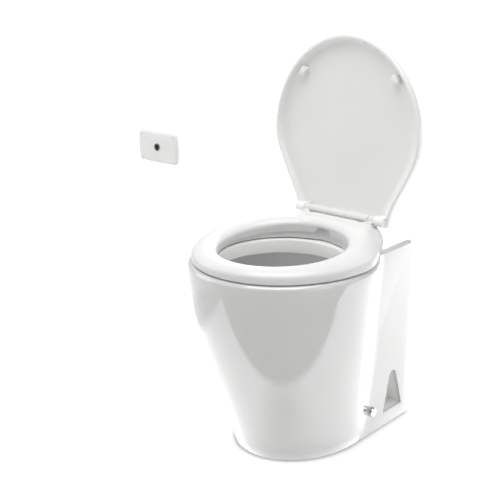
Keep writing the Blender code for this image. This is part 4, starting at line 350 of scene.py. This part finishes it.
def moulded_plastic(name, colour, gloss, grain, depth):
    """Injection-moulded plastic with a flow-marked gloss and a fine grain."""
    finish = Finish(name, IOR=1.49)
    flow = finish.noise(scale=11, detail=3)
    finish.colour(finish.mix(finish.ramp(flow, 0.3, 0.7), shade_of(colour, 0.975), colour))
    finish.roughness(gloss + finish.noise(scale=45, detail=3) * gloss * 0.6)
    finish.bump(flow + finish.noise(scale=grain) * 0.12, distance=depth, strength=0.4)
    return finish.material


def soft_rubber(name, colour, chalk):
    """Rubber with a dry bloom on it and a fine moulded tooth."""
    finish = Finish(name, IOR=1.5)
    bloom = finish.ramp(finish.noise(scale=60, detail=4), 0.4, 0.75)
    finish.colour(finish.mix(bloom * chalk, colour, shade_of(colour, 1.6)))
    finish.roughness(0.55 + bloom * 0.25)
    finish.bump(finish.noise(scale=1400), distance=0.0002, strength=0.5)
    return finish.material


def brushed_steel(name, colour):
    """Stainless steel brushed along its length, dulled a little where it has been handled."""
    finish = Finish(name, Metallic=1.0)
    strokes = finish.noise(scale=90, detail=4, vector=finish.stretched((1, 0.06, 1)))
    smear = finish.ramp(finish.noise(scale=25, detail=3), 0.35, 0.7)
    finish.colour(finish.mix(strokes, shade_of(colour, 0.82), shade_of(colour, 1.08)))
    finish.roughness(0.24 + strokes * 0.14 + smear * 0.08)
    finish.bump(strokes, distance=0.00015, strength=0.5)
    return finish.material


def mirror_plating(name, colour):
    """Mirror plating with faint wiping marks."""
    finish = Finish(name, Metallic=1.0)
    marks = finish.noise(scale=180, detail=3, vector=finish.stretched((1, 1, 0.2)))
    wiped = finish.ramp(marks, 0.45, 0.7)
    finish.colour(finish.mix(wiped, colour, shade_of(colour, 0.93)))
    finish.roughness(0.04 + wiped * 0.07)
    return finish.material


def stove_enamel(name, colour):
    """Dark enamel on the motor can, with orange peel and rubbed edges."""
    finish = Finish(name, IOR=1.5, Coat_Weight=0.4, Coat_Roughness=0.2)
    rubbed = finish.ramp(finish.noise(scale=70, detail=4), 0.6, 0.72)
    finish.colour(finish.mix(rubbed * 0.4, colour, shade_of(colour, 2.2)))
    finish.roughness(0.34 + rubbed * 0.2)
    finish.bump(finish.noise(scale=420), distance=0.0003, strength=0.35)
    return finish.material


def matt_moulding(name, colour):
    """Matt dark plastic with a spark-eroded grain."""
    finish = Finish(name, IOR=1.48)
    grain = finish.noise(scale=1100, detail=3)
    finish.colour(finish.mix(grain, shade_of(colour, 0.8), shade_of(colour, 1.5)))
    finish.roughness(0.36 + grain * 0.2)
    finish.bump(grain, distance=0.0002, strength=0.6)
    return finish.material


def polished_moulding(name, colour):
    """The push button: deep gloss black with a few hairline scuffs."""
    finish = Finish(name, IOR=1.36)
    marks = finish.noise(scale=500, detail=3, vector=finish.stretched((1, 1, 0.1)))
    scuffs = finish.ramp(marks, 0.62, 0.7)
    finish.colour(finish.mix(scuffs * 0.3, colour, shade_of(colour, 6)))
    finish.roughness(0.05 + scuffs * 0.12)
    return finish.material


# Finishes that several operators use


def shared(make, name, *values, **named):
    """Makes a finish the first time, and finds it by its name after that."""
    return bpy.data.materials.get(name) or make(name, *values, **named)


def fitting_white():
    return shared(moulded_plastic, "fitting_white", picked("fittings"), gloss=0.22, grain=300, depth=0.0005)


def pale_rubber():
    return shared(soft_rubber, "pale_rubber", picked("pale_rubber"), chalk=0.1)


def black_rubber():
    return shared(soft_rubber, "black_rubber", picked("rubber"), chalk=0.5)


def stainless():
    return shared(brushed_steel, "brushed_stainless", picked("steel"))


def chrome():
    return shared(mirror_plating, "bright_chrome", picked("chrome"))


def enamel():
    return shared(stove_enamel, "stove_enamel", picked("enamel"))


def dark_moulding():
    return shared(matt_moulding, "dark_moulding", picked("moulding"))


# Shared steps


def dress(names, material, sharpest=NODE_CREASE):
    """Gives frame nodes their finish, and shades them smooth up to an edge angle."""
    for name in names:
        node = NODES[name]
        mesh = node.data
        mesh.materials.clear()
        mesh.materials.append(material)
        if "custom_normal" in mesh.attributes:
            mesh.attributes.remove(mesh.attributes["custom_normal"])
        mesh.polygons.foreach_set("use_smooth", [True] * len(mesh.polygons))
        weld = node.modifiers.new("weld", "WELD")
        weld.merge_threshold = WELD_DISTANCE
        split = node.modifiers.new("crease", "EDGE_SPLIT")
        split.split_angle = sharpest


def new_piece(name, bm, material, body, stands_for):
    """Makes a piece that takes a node's place, rides on its body and keeps its material slot."""
    bmesh.ops.recalc_face_normals(bm, faces=bm.faces)
    mesh = bpy.data.meshes.new(name)
    bm.to_mesh(mesh)
    bm.free()
    mesh.materials.append(material)
    mesh.polygons.foreach_set("use_smooth", [True] * len(mesh.polygons))
    piece = bpy.data.objects.new(name, mesh)
    bpy.context.scene.collection.objects.link(piece)
    split = piece.modifiers.new("crease", "EDGE_SPLIT")
    split.split_angle = PIECE_CREASE
    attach(piece, body)
    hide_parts(stands_for)
    return piece


def skin(bm, rings):
    """Joins rings of points with faces, each to the next and the last to the first."""
    made = [[bm.verts.new(point) for point in ring] for ring in rings]
    for one, other in zip(made, made[1:] + made[:1]):
        for i in range(len(one)):
            j = (i + 1) % len(one)
            bm.faces.new((one[i], one[j], other[j], other[i]))


def eased(low, high, value):
    """0 up to low, 1 from high on, and a soft climb between."""
    share = min(max((value - low) / (high - low), 0), 1)
    return share * share * (3 - 2 * share)


def between(start, end, share):
    """The value that lies a share of the way from start to end."""
    return start + (end - start) * share


def ahead_of_wall(x, distance, height):
    """A point in the frame's axes, from its distance ahead of the bulkhead."""
    return Vector((x, BULKHEAD - distance, height))


def numbered(stem, count):
    """The names of like nodes that end in 1, 2 and so on."""
    return [f"{stem}_{number}" for number in range(1, count + 1)]


def both_sides(*stems):
    """The names of nodes that come in left and right pairs."""
    return [f"{stem}_{side}" for stem in stems for side in ("left", "right")]


def sizes():
    return bpy.context.scene.toilet_sizes


def colours():
    return bpy.context.scene.toilet_colours


def picked(name):
    """One of the colours in the settings."""
    return tuple(getattr(colours(), name))


# Settings


def tone(name, description, red, green, blue):
    return bpy.props.FloatVectorProperty(
        name=name, description=description, default=(red, green, blue), subtype="COLOR", min=0, max=1
    )


def length(name, description, default):
    return bpy.props.FloatProperty(
        name=name, description=description, default=default, unit="LENGTH", precision=4
    )


def angle(name, description, degrees):
    return bpy.props.FloatProperty(
        name=name, description=description, default=math.radians(degrees), subtype="ANGLE"
    )


class ToiletSizes(bpy.types.PropertyGroup):
    """The seat's main sizes, and where the camera and floor are"""

    seat_half_width: length("Seat half-width", "Half of the seat's width at its widest", 0.1840)
    seat_height: length("Seat height", "The seat's flat over the floor, before its crown and climb", 0.411)
    seat_crown: length("Seat crown", "How far the seat's top swells between its edges", 0.0040)
    seat_rise: length("Seat rise", "How far the seat climbs from its nose to the hinge", 0.0250)
    camera_place: bpy.props.FloatVectorProperty(
        name="Camera place",
        description="Where the camera stands, from the middle of the pedestal's rear foot",
        default=(1.1852, -1.6554, 0.9675),
        subtype="TRANSLATION",
    )
    camera_azimuth: angle("Camera azimuth", "How far the camera stands round to the right", 38.96)
    camera_elevation: angle("Camera elevation", "How far the camera looks down", 18.09)
    focal_pixels: bpy.props.FloatProperty(
        name="Focal length in pixels", description="Of the 500 pixel frame", default=994.19
    )
    centre_pixels: bpy.props.FloatVectorProperty(
        name="Optical centre",
        description="Where the camera's axis meets the 500 pixel frame, from its top left",
        size=2,
        default=(304.94, 266.77),
    )
    floor_side: length("Floor side", "Side of the square floor", 30.0)


class ToiletColours(bpy.types.PropertyGroup):
    """The colour of each finish"""

    china: tone("China", "Glaze on the bowl and pedestal", 0.71, 0.71, 0.702)
    # The seat and lid are one white plastic. The seat's tone is set darker where the top lamp lights it
    # strongly, and the lid's lighter where little light reaches it: painted shade and painted light.
    seat: tone("Seat", "The seat", 0.81, 0.81, 0.807)
    lid: tone("Lid", "Lid, both faces", 0.94, 0.94, 0.922)
    fittings: tone("Fittings", "White hinge, pump and pipe fittings", 0.80, 0.80, 0.787)
    # The panel is the fittings' white plastic set lighter, to make up for the little light that reaches it:
    # painted light.
    panel: tone("Panel", "Control panel and the caps over its screws", 0.92, 0.92, 0.91)
    pale_rubber: tone("Pale rubber", "Pads under the seat and lid", 0.88, 0.88, 0.86)
    rubber: tone("Rubber", "Hoses, washers and feet", 0.018, 0.018, 0.019)
    steel: tone("Steel", "Brackets, clamps and screws", 0.60, 0.60, 0.59)
    chrome: tone("Chrome", "Screw caps and the button's ring", 0.46, 0.46, 0.47)
    enamel: tone("Enamel", "Motor can", 0.05, 0.055, 0.065)
    moulding: tone("Dark moulding", "Motor end, switch and coil", 0.028, 0.028, 0.032)
    button: tone("Button", "Push button", 0.004, 0.004, 0.005)
    floor: tone("Floor", "Floor and surroundings", 0.75, 0.75, 0.75)


# Operators


class TOILET_OT_stage(bpy.types.Operator):
    """Camera, floor, surroundings and lights"""

    bl_idname = "toilet.stage"
    bl_label = "Stage"

    def execute(self, context):
        self.camera()
        self.floor()
        self.room()
        self.lamps()
        bpy.context.scene.view_settings.view_transform = "Standard"
        return {"FINISHED"}

    def camera(self):
        size = sizes()
        lens = bpy.data.cameras.new("photo_camera")
        camera = bpy.data.objects.new("photo_camera", lens)
        bpy.context.scene.collection.objects.link(camera)
        turn, down = size.camera_azimuth, size.camera_elevation
        level = math.cos(down)
        forward = Vector((-math.sin(turn) * level, math.cos(turn) * level, -math.sin(down)))
        camera.location = size.camera_place
        camera.rotation_euler = forward.to_track_quat("-Z", "Y").to_euler()
        lens.sensor_width = SENSOR_WIDTH
        lens.lens = size.focal_pixels * SENSOR_WIDTH / PHOTO_SIDE
        half = PHOTO_SIDE / 2
        lens.shift_x = (half - size.centre_pixels[0]) / PHOTO_SIDE
        lens.shift_y = (size.centre_pixels[1] - half) / PHOTO_SIDE
        bpy.context.scene.camera = camera

    def floor(self):
        bm = bmesh.new()
        bmesh.ops.create_grid(bm, x_segments=1, y_segments=1, size=sizes().floor_side / 2)
        mesh = bpy.data.meshes.new("studio_floor")
        bm.to_mesh(mesh)
        bm.free()
        mesh.materials.append(self.floor_finish())
        floor = bpy.data.objects.new("studio_floor", mesh)
        bpy.context.scene.collection.objects.link(floor)

    def floor_finish(self):
        """A pale floor that shows white, with a brighter board that only the gloss picks up."""
        finish = Finish("studio_floor", Roughness=0.9, Emission_Strength=1.0)
        finish.colour(picked("floor"))
        seen = finish.node("ShaderNodeLightPath", {}, {}, "Is Camera Ray")
        gloss = finish.node("ShaderNodeLightPath", {}, {}, "Is Glossy Ray")
        glow = seen * self.glow_with_painted_shadow(finish) + gloss * self.board(finish) * BOARD_GLOW
        finish.feed(finish.shader.inputs["Emission Color"], glow)
        return finish.material

    def glow_with_painted_shadow(self, finish):
        """The glow that a picture shows, dimmer near the object as painted shade, with a thin painted
        contact shadow where something stands on the floor.
        """
        span = finish.vector("LENGTH", finish.place(), output="Value")
        far = finish.ramp((span - FLOOR_FAR_FROM) * (1 / FLOOR_FAR_RUN), 0, 1)
        # Ambient occlusion dims the glow where things stand on the floor: a painted contact shadow.
        clear = finish.node("ShaderNodeAmbientOcclusion", {}, {"Distance": FLOOR_CONTACT_SHADOW_REACH}, "AO")
        return (far * (FLOOR_GLOW_FAR - FLOOR_GLOW) + FLOOR_GLOW) * clear ** 2

    def board(self, finish):
        """The board's share of its glow at each point of the floor."""
        fronts = [self.beyond(finish, *line) for line in BOARD_FRONT_LINES]
        front = finish.node("ShaderNodeMath", {"operation": "MINIMUM"}, dict(enumerate(fronts)))
        left = finish.ramp(self.beyond(finish, *BOARD_LEFT_LINE), 0, BOARD_LEFT_BLUR)
        outer = 1 - finish.ramp(self.beyond(finish, *BOARD_OUTER_LINE), 0, BOARD_LEFT_BLUR)
        outline = (1 - finish.ramp(front, 0, BOARD_FRONT_BLUR)) * (left + outer * BOARD_OUTER_SHARE)
        start, end = BOARD_FADE_RUN
        run = finish.ramp((finish.part(finish.place(), "X") - start) * (1 / (end - start)), 0, 1)
        fade = run * (1 - BOARD_FADE_SHARE) + BOARD_FADE_SHARE
        off = finish.vector("DISTANCE", finish.place(), BOARD_DIP_AT, output="Value")
        dip = finish.ramp(off * (1 / BOARD_DIP_REACH), 0, 1) * (1 - BOARD_DIP_SHARE) + BOARD_DIP_SHARE
        return outline * fade * dip

    def beyond(self, finish, point, facing):
        """How far a point of the floor lies past a line, in the way that the line faces."""
        turn = math.radians(facing)
        way = (math.sin(turn), -math.cos(turn), 0)
        along = finish.vector("DOT_PRODUCT", finish.place(), way, output="Value")
        return along - (point[0] * way[0] + point[1] * way[1])

    def room(self):
        """What lights the object from all round, and what its gloss mirrors."""
        world = bpy.data.worlds.new("studio_room")
        bpy.context.scene.world = world
        world.use_nodes = True
        nodes = Nodes(world.node_tree)
        turn = sizes().camera_azimuth
        direction = nodes.node("ShaderNodeTexCoord", {}, {}, "Generated")
        front = nodes.vector("DOT_PRODUCT", direction, (math.sin(turn), -math.cos(turn), 0), output="Value")
        backdrop = world.node_tree.nodes["Background"]
        backdrop.inputs["Strength"].default_value = 1.0
        nodes.feed(backdrop.inputs["Color"], nodes.ramp(front, *ROOM_TURNS, (ROOM_BRIGHT, ROOM_DARK)))

    def lamps(self):
        for name, place, aim, width, height, power in LAMPS:
            data = bpy.data.lights.new(name, "AREA")
            data.shape = "RECTANGLE"
            data.size = width
            data.size_y = height
            data.energy = power
            lamp = bpy.data.objects.new(name, data)
            lamp.location = place
            lamp.rotation_euler = (Vector(aim) - Vector(place)).to_track_quat("-Z", "Y").to_euler()
            lamp.visible_camera = False
            bpy.context.scene.collection.objects.link(lamp)


class TOILET_OT_pedestal(bpy.types.Operator):
    """The china bowl and pedestal"""

    bl_idname = "toilet.pedestal"
    bl_label = "Bowl and pedestal"

    def execute(self, context):
        dress(["bowl_pedestal"], glazed_china("glazed_china", picked("china")), CHINA_CREASE)
        return {"FINISHED"}


class TOILET_OT_seat(bpy.types.Operator):
    """The seat and the rubber pads under it"""

    bl_idname = "toilet.seat"
    bl_label = "Seat"

    def execute(self, context):
        # The seat's tone is set darker than the lid's as painted shade.
        gloss = moulded_plastic("seat_gloss", picked("seat"), gloss=0.17, grain=260, depth=0.0006)
        bm = bmesh.new()
        skin(bm, [self.section(edge, hole) for edge, hole in self.stations()])
        for side in (-1, 1):
            self.lug(bm, side)
        new_piece("seat_ring", bm, gloss, "seat", "seat")
        dress(numbered("seat_pad", 4), pale_rubber())
        return {"FINISHED"}

    def stations(self):
        """Pairs of plan points all the way round, one on the outline and one on the hole's edge."""
        turn = -math.pi / 2 - HOLE_TURN_STEP
        half = []
        for x, distance in self.plan_half():
            turn = max(math.atan2(distance - HOLE_CENTRE, x), turn + HOLE_TURN_STEP)
            hole = (HOLE_HALF_WIDTH * math.cos(turn), HOLE_CENTRE + HOLE_HALF_LENGTH * math.sin(turn))
            half.append((Vector((x, distance)), Vector(hole)))
        half[-1] = (half[-1][0], Vector((0, HOLE_CENTRE + HOLE_HALF_LENGTH)))
        mirrored = Vector((-1, 1))
        return half + [(edge * mirrored, hole * mirrored) for edge, hole in reversed(half[1:-1])]

    def plan_half(self):
        """Half of the seat's outline from the middle of its rear round to its nose."""
        half = [(x, BAR_ROOM if x < BAR_ROOM_HALF_WIDTH else POST_ROOM) for x in REAR_STATIONS]
        rear = HINGE_DISTANCE - SEAT_TAIL
        for i in range(1, FLANK_STEPS + 1):
            half.append((POST_ROOM_HALF_WIDTH, between(POST_ROOM, rear, i / FLANK_STEPS)))
        flat = self.neck_width(0) - SEAT_CORNER
        for i in range(1, TAIL_STEPS):
            half.append((between(POST_ROOM_HALF_WIDTH, flat, i / TAIL_STEPS), rear))
        for i in range(CORNER_STEPS + 1):
            turn = math.pi / 2 * i / CORNER_STEPS
            half.append((flat + SEAT_CORNER * math.sin(turn), rear + SEAT_CORNER * (1 - math.cos(turn))))
        first = (SEAT_CORNER - SEAT_TAIL) / WIDEST
        for i in range(1, NECK_STEPS):
            share = between(first, 1, i / NECK_STEPS)
            half.append((self.neck_width(share), HINGE_DISTANCE + WIDEST * share))
        for i in range(NOSE_STEPS + 1):
            turn = math.pi / 2 * i / NOSE_STEPS
            ahead = WIDEST + NOSE * math.sin(turn)
            half.append((sizes().seat_half_width * math.cos(turn), HINGE_DISTANCE + ahead))
        half[-1] = (0, half[-1][1])
        return half

    def neck_width(self, share):
        """Half of the seat's width a share of the way from the hinge to its widest."""
        full = 1 - (1 - share) ** 2
        climb = NECK_BLEND * full + (1 - NECK_BLEND) * eased(0, 1, share)
        return between(NECK, sizes().seat_half_width, climb)

    def rise(self, ahead):
        """How far the seat has climbed over its nose, under the closed lid."""
        return sizes().seat_rise * max(1 - max(ahead, 0) / RISE_RUN, 0) ** RISE_POWER

    def rise_share(self, place):
        """How much of the climb a place takes: all of it inside, little near the seat's side."""
        ahead = max(place.y - HINGE_DISTANCE, 0)
        if ahead < WIDEST:
            half_width = self.neck_width(ahead / WIDEST)
        else:
            half_width = sizes().seat_half_width * math.sqrt(max(1 - ((ahead - WIDEST) / NOSE) ** 2, 0))
        return between(RISE_EDGE_SHARE, 1, eased(0, RISE_EDGE_RUN, half_width - abs(place.x)))

    def slice_top(self, edge, width):
        """The slice's upper side as (inward, height), from its outer edge to the hole."""
        outer = OUTER_ROUND
        if abs(edge.x) < POST_ROOM_HALF_WIDTH + WELD_DISTANCE and edge.y < POST_ROOM + WELD_DISTANCE:
            outer = TIGHT_ROUND
            if abs(edge.x) > BAR_ROOM_HALF_WIDTH:
                outer = min(TIGHT_ROUND + ROUND_WIDENING * (POST_ROOM - edge.y), OUTER_ROUND)
        flat = sizes().seat_height
        tall = flat - SEAT_SIDE
        top = []
        for i in range(ROUND_STEPS + 1):
            turn = math.pi / 2 * i / ROUND_STEPS
            out = math.cos(turn) ** (2 / OUTER_FULLNESS)
            up = math.sin(turn) ** (2 / OUTER_FULLNESS)
            top.append((outer * (1 - out), SEAT_SIDE + tall * up))
        for i in range(1, FLAT_STEPS):
            top.append((between(outer, width - INNER_ROUND, i / FLAT_STEPS), flat))
        for i in range(ROUND_STEPS + 1):
            turn = math.pi / 2 * (1 - i / ROUND_STEPS)
            out = max(math.cos(turn), 0) ** (2 / INNER_FULLNESS)
            up = math.sin(turn) ** (2 / INNER_FULLNESS)
            top.append((width - INNER_ROUND * (1 - out), SEAT_SIDE + tall * up))
        return top

    def slice_lip(self, hole, width):
        """The slice's edge at the hole, stepped back, or cut back further where the notch is."""
        inner = width - LIP_STEP - INNER_RIB
        lip = width - LIP_STEP
        back = width - NOTCH_DEPTH
        if abs(hole.x) < NOTCH_HALF_WIDTH and hole.y < HOLE_CENTRE:
            return [
                (width - NOTCH_ROUND, SEAT_SIDE, 1),
                (back, SEAT_SIDE, 1),
                (back, SEAT_LOW + SEAT_EDGE, NOTCH_RISE_SHARE),
                (back, SEAT_LOW + SEAT_EDGE / 2, 0),
                (back - NOTCH_ROUND, SEAT_LOW, 0),
                (inner - CHANNEL_SLOPE, CHANNEL_TOP, 0),
            ]
        return [
            (width, SEAT_LOW + SEAT_EDGE, LIP_RISE_SHARE),
            (lip, SEAT_LOW + SEAT_EDGE, LIP_RISE_SHARE),
            (lip, SEAT_LOW + SEAT_EDGE / 2, 0),
            (lip - SEAT_EDGE, SEAT_LOW, 0),
            (inner, SEAT_LOW, 0),
            (inner - CHANNEL_SLOPE, CHANNEL_TOP, 0),
        ]

    def section(self, edge, hole):
        """One slice of the ring, from its outer edge over the crown and back along the underside."""
        # Each point is its distance inward, its height, and its share of the climb to the hinge.
        width = (edge - hole).length
        ring = [(0, SEAT_LOW + SEAT_EDGE, 0)]
        ring += [(inward, height, 1) for inward, height in self.slice_top(edge, width)]
        ring += self.slice_lip(hole, width)
        ring += [(RIB + CHANNEL_SLOPE, CHANNEL_TOP, 0), (RIB, SEAT_LOW, 0), (SEAT_EDGE, SEAT_LOW, 0)]
        points = []
        for step, (inward, height, risen) in enumerate(ring):
            place = edge.lerp(hole, inward / width)
            ahead = place.y - HINGE_DISTANCE
            height += risen * self.rise(ahead) * self.rise_share(place)
            if 0 < step <= TOP_STEPS:
                crown = eased(CROWN_FROM, CROWN_FROM + CROWN_RUN, ahead)
                height += sizes().seat_crown * crown * math.sin(math.pi * inward / width)
            if abs(place.x) > (LUG_INNER + LUG_OUTER) / 2:
                past = eased(EAR_ROOM_FRONT, EAR_ROOM_FRONT + EAR_ROOM_RUN, place.y)
                height = min(height, between(EAR_ROOM_HEIGHT, HINGE_HEIGHT + LUG_RADIUS, past))
            points.append(ahead_of_wall(place.x, place.y, height))
        return points

    def lug(self, bm, side):
        """A lug that turns on the hinge pin, with its bore and its rounded edges."""
        outline = (
            (LUG_INNER, LUG_ROUND),
            (LUG_INNER + LUG_ROUND, 0),
            (LUG_OUTER - LUG_ROUND, 0),
            (LUG_OUTER, LUG_ROUND),
        )
        rings = []
        for x, shrink in outline:
            rings.append([self.lug_point(side * x, i, shrink) for i in range(LUG_SIDES)])
        for x in (LUG_OUTER, LUG_INNER):
            rings.append([self.bore_point(side * x, i) for i in range(LUG_SIDES)])
        skin(bm, rings)

    def lug_point(self, x, step, shrink):
        """A point of the lug's outline, which is round over the axis and flares to its foot."""
        turn = 2 * math.pi * step / LUG_SIDES
        cosine, sine = math.cos(turn), math.sin(turn)
        reach = LUG_RADIUS - shrink
        if sine < 0:
            front = LUG_FRONT - shrink if cosine > 0 else LUG_RADIUS - shrink
            sides = between(LUG_RADIUS - shrink, front, min(-2 * sine, 1))
            reach = min(sides / max(abs(cosine), TINY), LUG_FOOT / -sine)
        return ahead_of_wall(x, HINGE_DISTANCE + reach * cosine, HINGE_HEIGHT + reach * sine)

    def bore_point(self, x, step):
        turn = 2 * math.pi * step / LUG_SIDES
        across, up = LUG_BORE * math.cos(turn), LUG_BORE * math.sin(turn)
        return ahead_of_wall(x, HINGE_DISTANCE + across, HINGE_HEIGHT + up)


class TOILET_OT_lid(bpy.types.Operator):
    """The lid and the rubber pads on it"""

    bl_idname = "toilet.lid"
    bl_label = "Lid"

    def execute(self, context):
        # The lid's tone is set lighter than the seat's as painted light.
        dress(["lid"], moulded_plastic("lid_gloss", picked("lid"), gloss=0.15, grain=220, depth=0.0006))
        pads = numbered("lid_pad", 2)
        dress(pads, pale_rubber())
        for name in pads:
            self.pad(name)
        return {"FINISHED"}

    def pad(self, name):
        """A lid pad in its node's place, shortened along the way that it meets the closed seat."""
        bm = bmesh.new()
        bm.from_mesh(NODES[name].data)
        bmesh.ops.remove_doubles(bm, verts=bm.verts, dist=WELD_DISTANCE)
        axis = Matrix.Translation(ahead_of_wall(0, HINGE_DISTANCE, HINGE_HEIGHT))
        opened = axis @ Matrix.Rotation(-LID_OPEN, 4, "X") @ axis.inverted()
        bm.transform(opened.inverted())
        for vert in bm.verts:
            vert.co.z = between(PAD_FLOOR, vert.co.z, PAD_SHARE)
        bm.transform(opened)
        new_piece(f"{name}_short", bm, pale_rubber(), "lid", name)


class TOILET_OT_hinge(bpy.types.Operator):
    """The hinge bar with its posts, its pins, studs, washers and nuts"""

    bl_idname = "toilet.hinge"
    bl_label = "Hinge"

    def execute(self, context):
        dress(["hinge_bar"] + both_sides("wing_nut"), fitting_white())
        dress(both_sides("hinge_pin", "hinge_stud"), stainless())
        dress(both_sides("hinge_washer"), black_rubber())
        return {"FINISHED"}


class TOILET_OT_side_fixings(bpy.types.Operator):
    """The capped screws low on the sides, and the brackets that they hold to"""

    bl_idname = "toilet.side_fixings"
    bl_label = "Side fixings"

    def execute(self, context):
        dress(both_sides("fixing_bracket", "side_screw"), stainless())
        dress(both_sides("screw_cap"), chrome())
        return {"FINISHED"}


class TOILET_OT_pump(bpy.types.Operator):
    """The pump's chamber and what turns in it"""

    bl_idname = "toilet.pump"
    bl_label = "Pump"

    def execute(self, context):
        dress(["pump_housing", "pump_cover"], fitting_white())
        dress(["macerator_blade", "motor_shaft"] + numbered("pump_screw", 3), stainless())
        dress(["pump_gasket", "shaft_seal"], black_rubber())
        dress(["impeller"], dark_moulding())
        return {"FINISHED"}


class TOILET_OT_motor(bpy.types.Operator):
    """The motor, its strap, its bracket and its feet"""

    bl_idname = "toilet.motor"
    bl_label = "Motor"

    def execute(self, context):
        dress(["motor_can", "armature"], enamel())
        dress(["motor_end_cap"], dark_moulding())
        dress(["motor_strap", "pump_bracket"], stainless())
        dress(numbered("foot_pad", 4), black_rubber())
        return {"FINISHED"}


class TOILET_OT_pipes(bpy.types.Operator):
    """The waste's way to and from the pump, and the rinse water's way to the rim"""

    bl_idname = "toilet.pipes"
    bl_label = "Pipes and valves"

    def execute(self, context):
        dress(["discharge_elbow", "rinse_valve", "rim_spud"], fitting_white())
        dress(["bowl_elbow", "check_valve", "rinse_hose"], black_rubber())
        dress(["bowl_clamp", "pump_clamp"], stainless())
        dress(["valve_coil"], dark_moulding())
        return {"FINISHED"}


class TOILET_OT_panel(bpy.types.Operator):
    """The panel on the bulkhead, its button and its switch"""

    bl_idname = "toilet.panel"
    bl_label = "Control panel"

    def execute(self, context):
        # Its white is set lighter than the fittings' as painted light.
        white = moulded_plastic("panel_white", picked("panel"), gloss=0.2, grain=300, depth=0.0004)
        dress(["control_panel"] + numbered("panel_cap", 4), white)
        dress(["button_bezel"], chrome())
        dress(["push_button"], polished_moulding("polished_black", picked("button")))
        dress(["switch_body"], dark_moulding())
        return {"FINISHED"}


OPERATORS = (
    TOILET_OT_stage,
    TOILET_OT_pedestal,
    TOILET_OT_seat,
    TOILET_OT_lid,
    TOILET_OT_hinge,
    TOILET_OT_side_fixings,
    TOILET_OT_pump,
    TOILET_OT_motor,
    TOILET_OT_pipes,
    TOILET_OT_panel,
)


class TOILET_PT_sidebar(bpy.types.Panel):
    """Sizes, colours and steps"""

    bl_idname = "TOILET_PT_sidebar"
    bl_label = "Marine toilet"
    bl_space_type = "VIEW_3D"
    bl_region_type = "UI"
    bl_category = "Toilet"

    def draw(self, context):
        for group in (sizes(), colours()):
            for name in group.bl_rna.properties.keys():
                if name not in ("rna_type", "name"):
                    self.layout.prop(group, name)
        for step in OPERATORS:
            self.layout.operator(step.bl_idname)


CLASSES = (ToiletSizes, ToiletColours, *OPERATORS, TOILET_PT_sidebar)


def register():
    for each in CLASSES:
        bpy.utils.register_class(each)
    bpy.types.Scene.toilet_sizes = bpy.props.PointerProperty(type=ToiletSizes)
    bpy.types.Scene.toilet_colours = bpy.props.PointerProperty(type=ToiletColours)


def unregister():
    del bpy.types.Scene.toilet_colours
    del bpy.types.Scene.toilet_sizes
    for each in reversed(CLASSES):
        bpy.utils.unregister_class(each)


def clear_start():
    """Takes away what a new Blender file holds: its cube, lamp and camera."""
    for name in ("Cube", "Light", "Camera"):
        if name in bpy.data.objects:
            bpy.data.objects.remove(bpy.data.objects[name])


def main():
    register()
    clear_start()
    for step in OPERATORS:
        group, name = step.bl_idname.split(".")
        getattr(getattr(bpy.ops, group), name)()


if __name__ == "__main__":
    main()
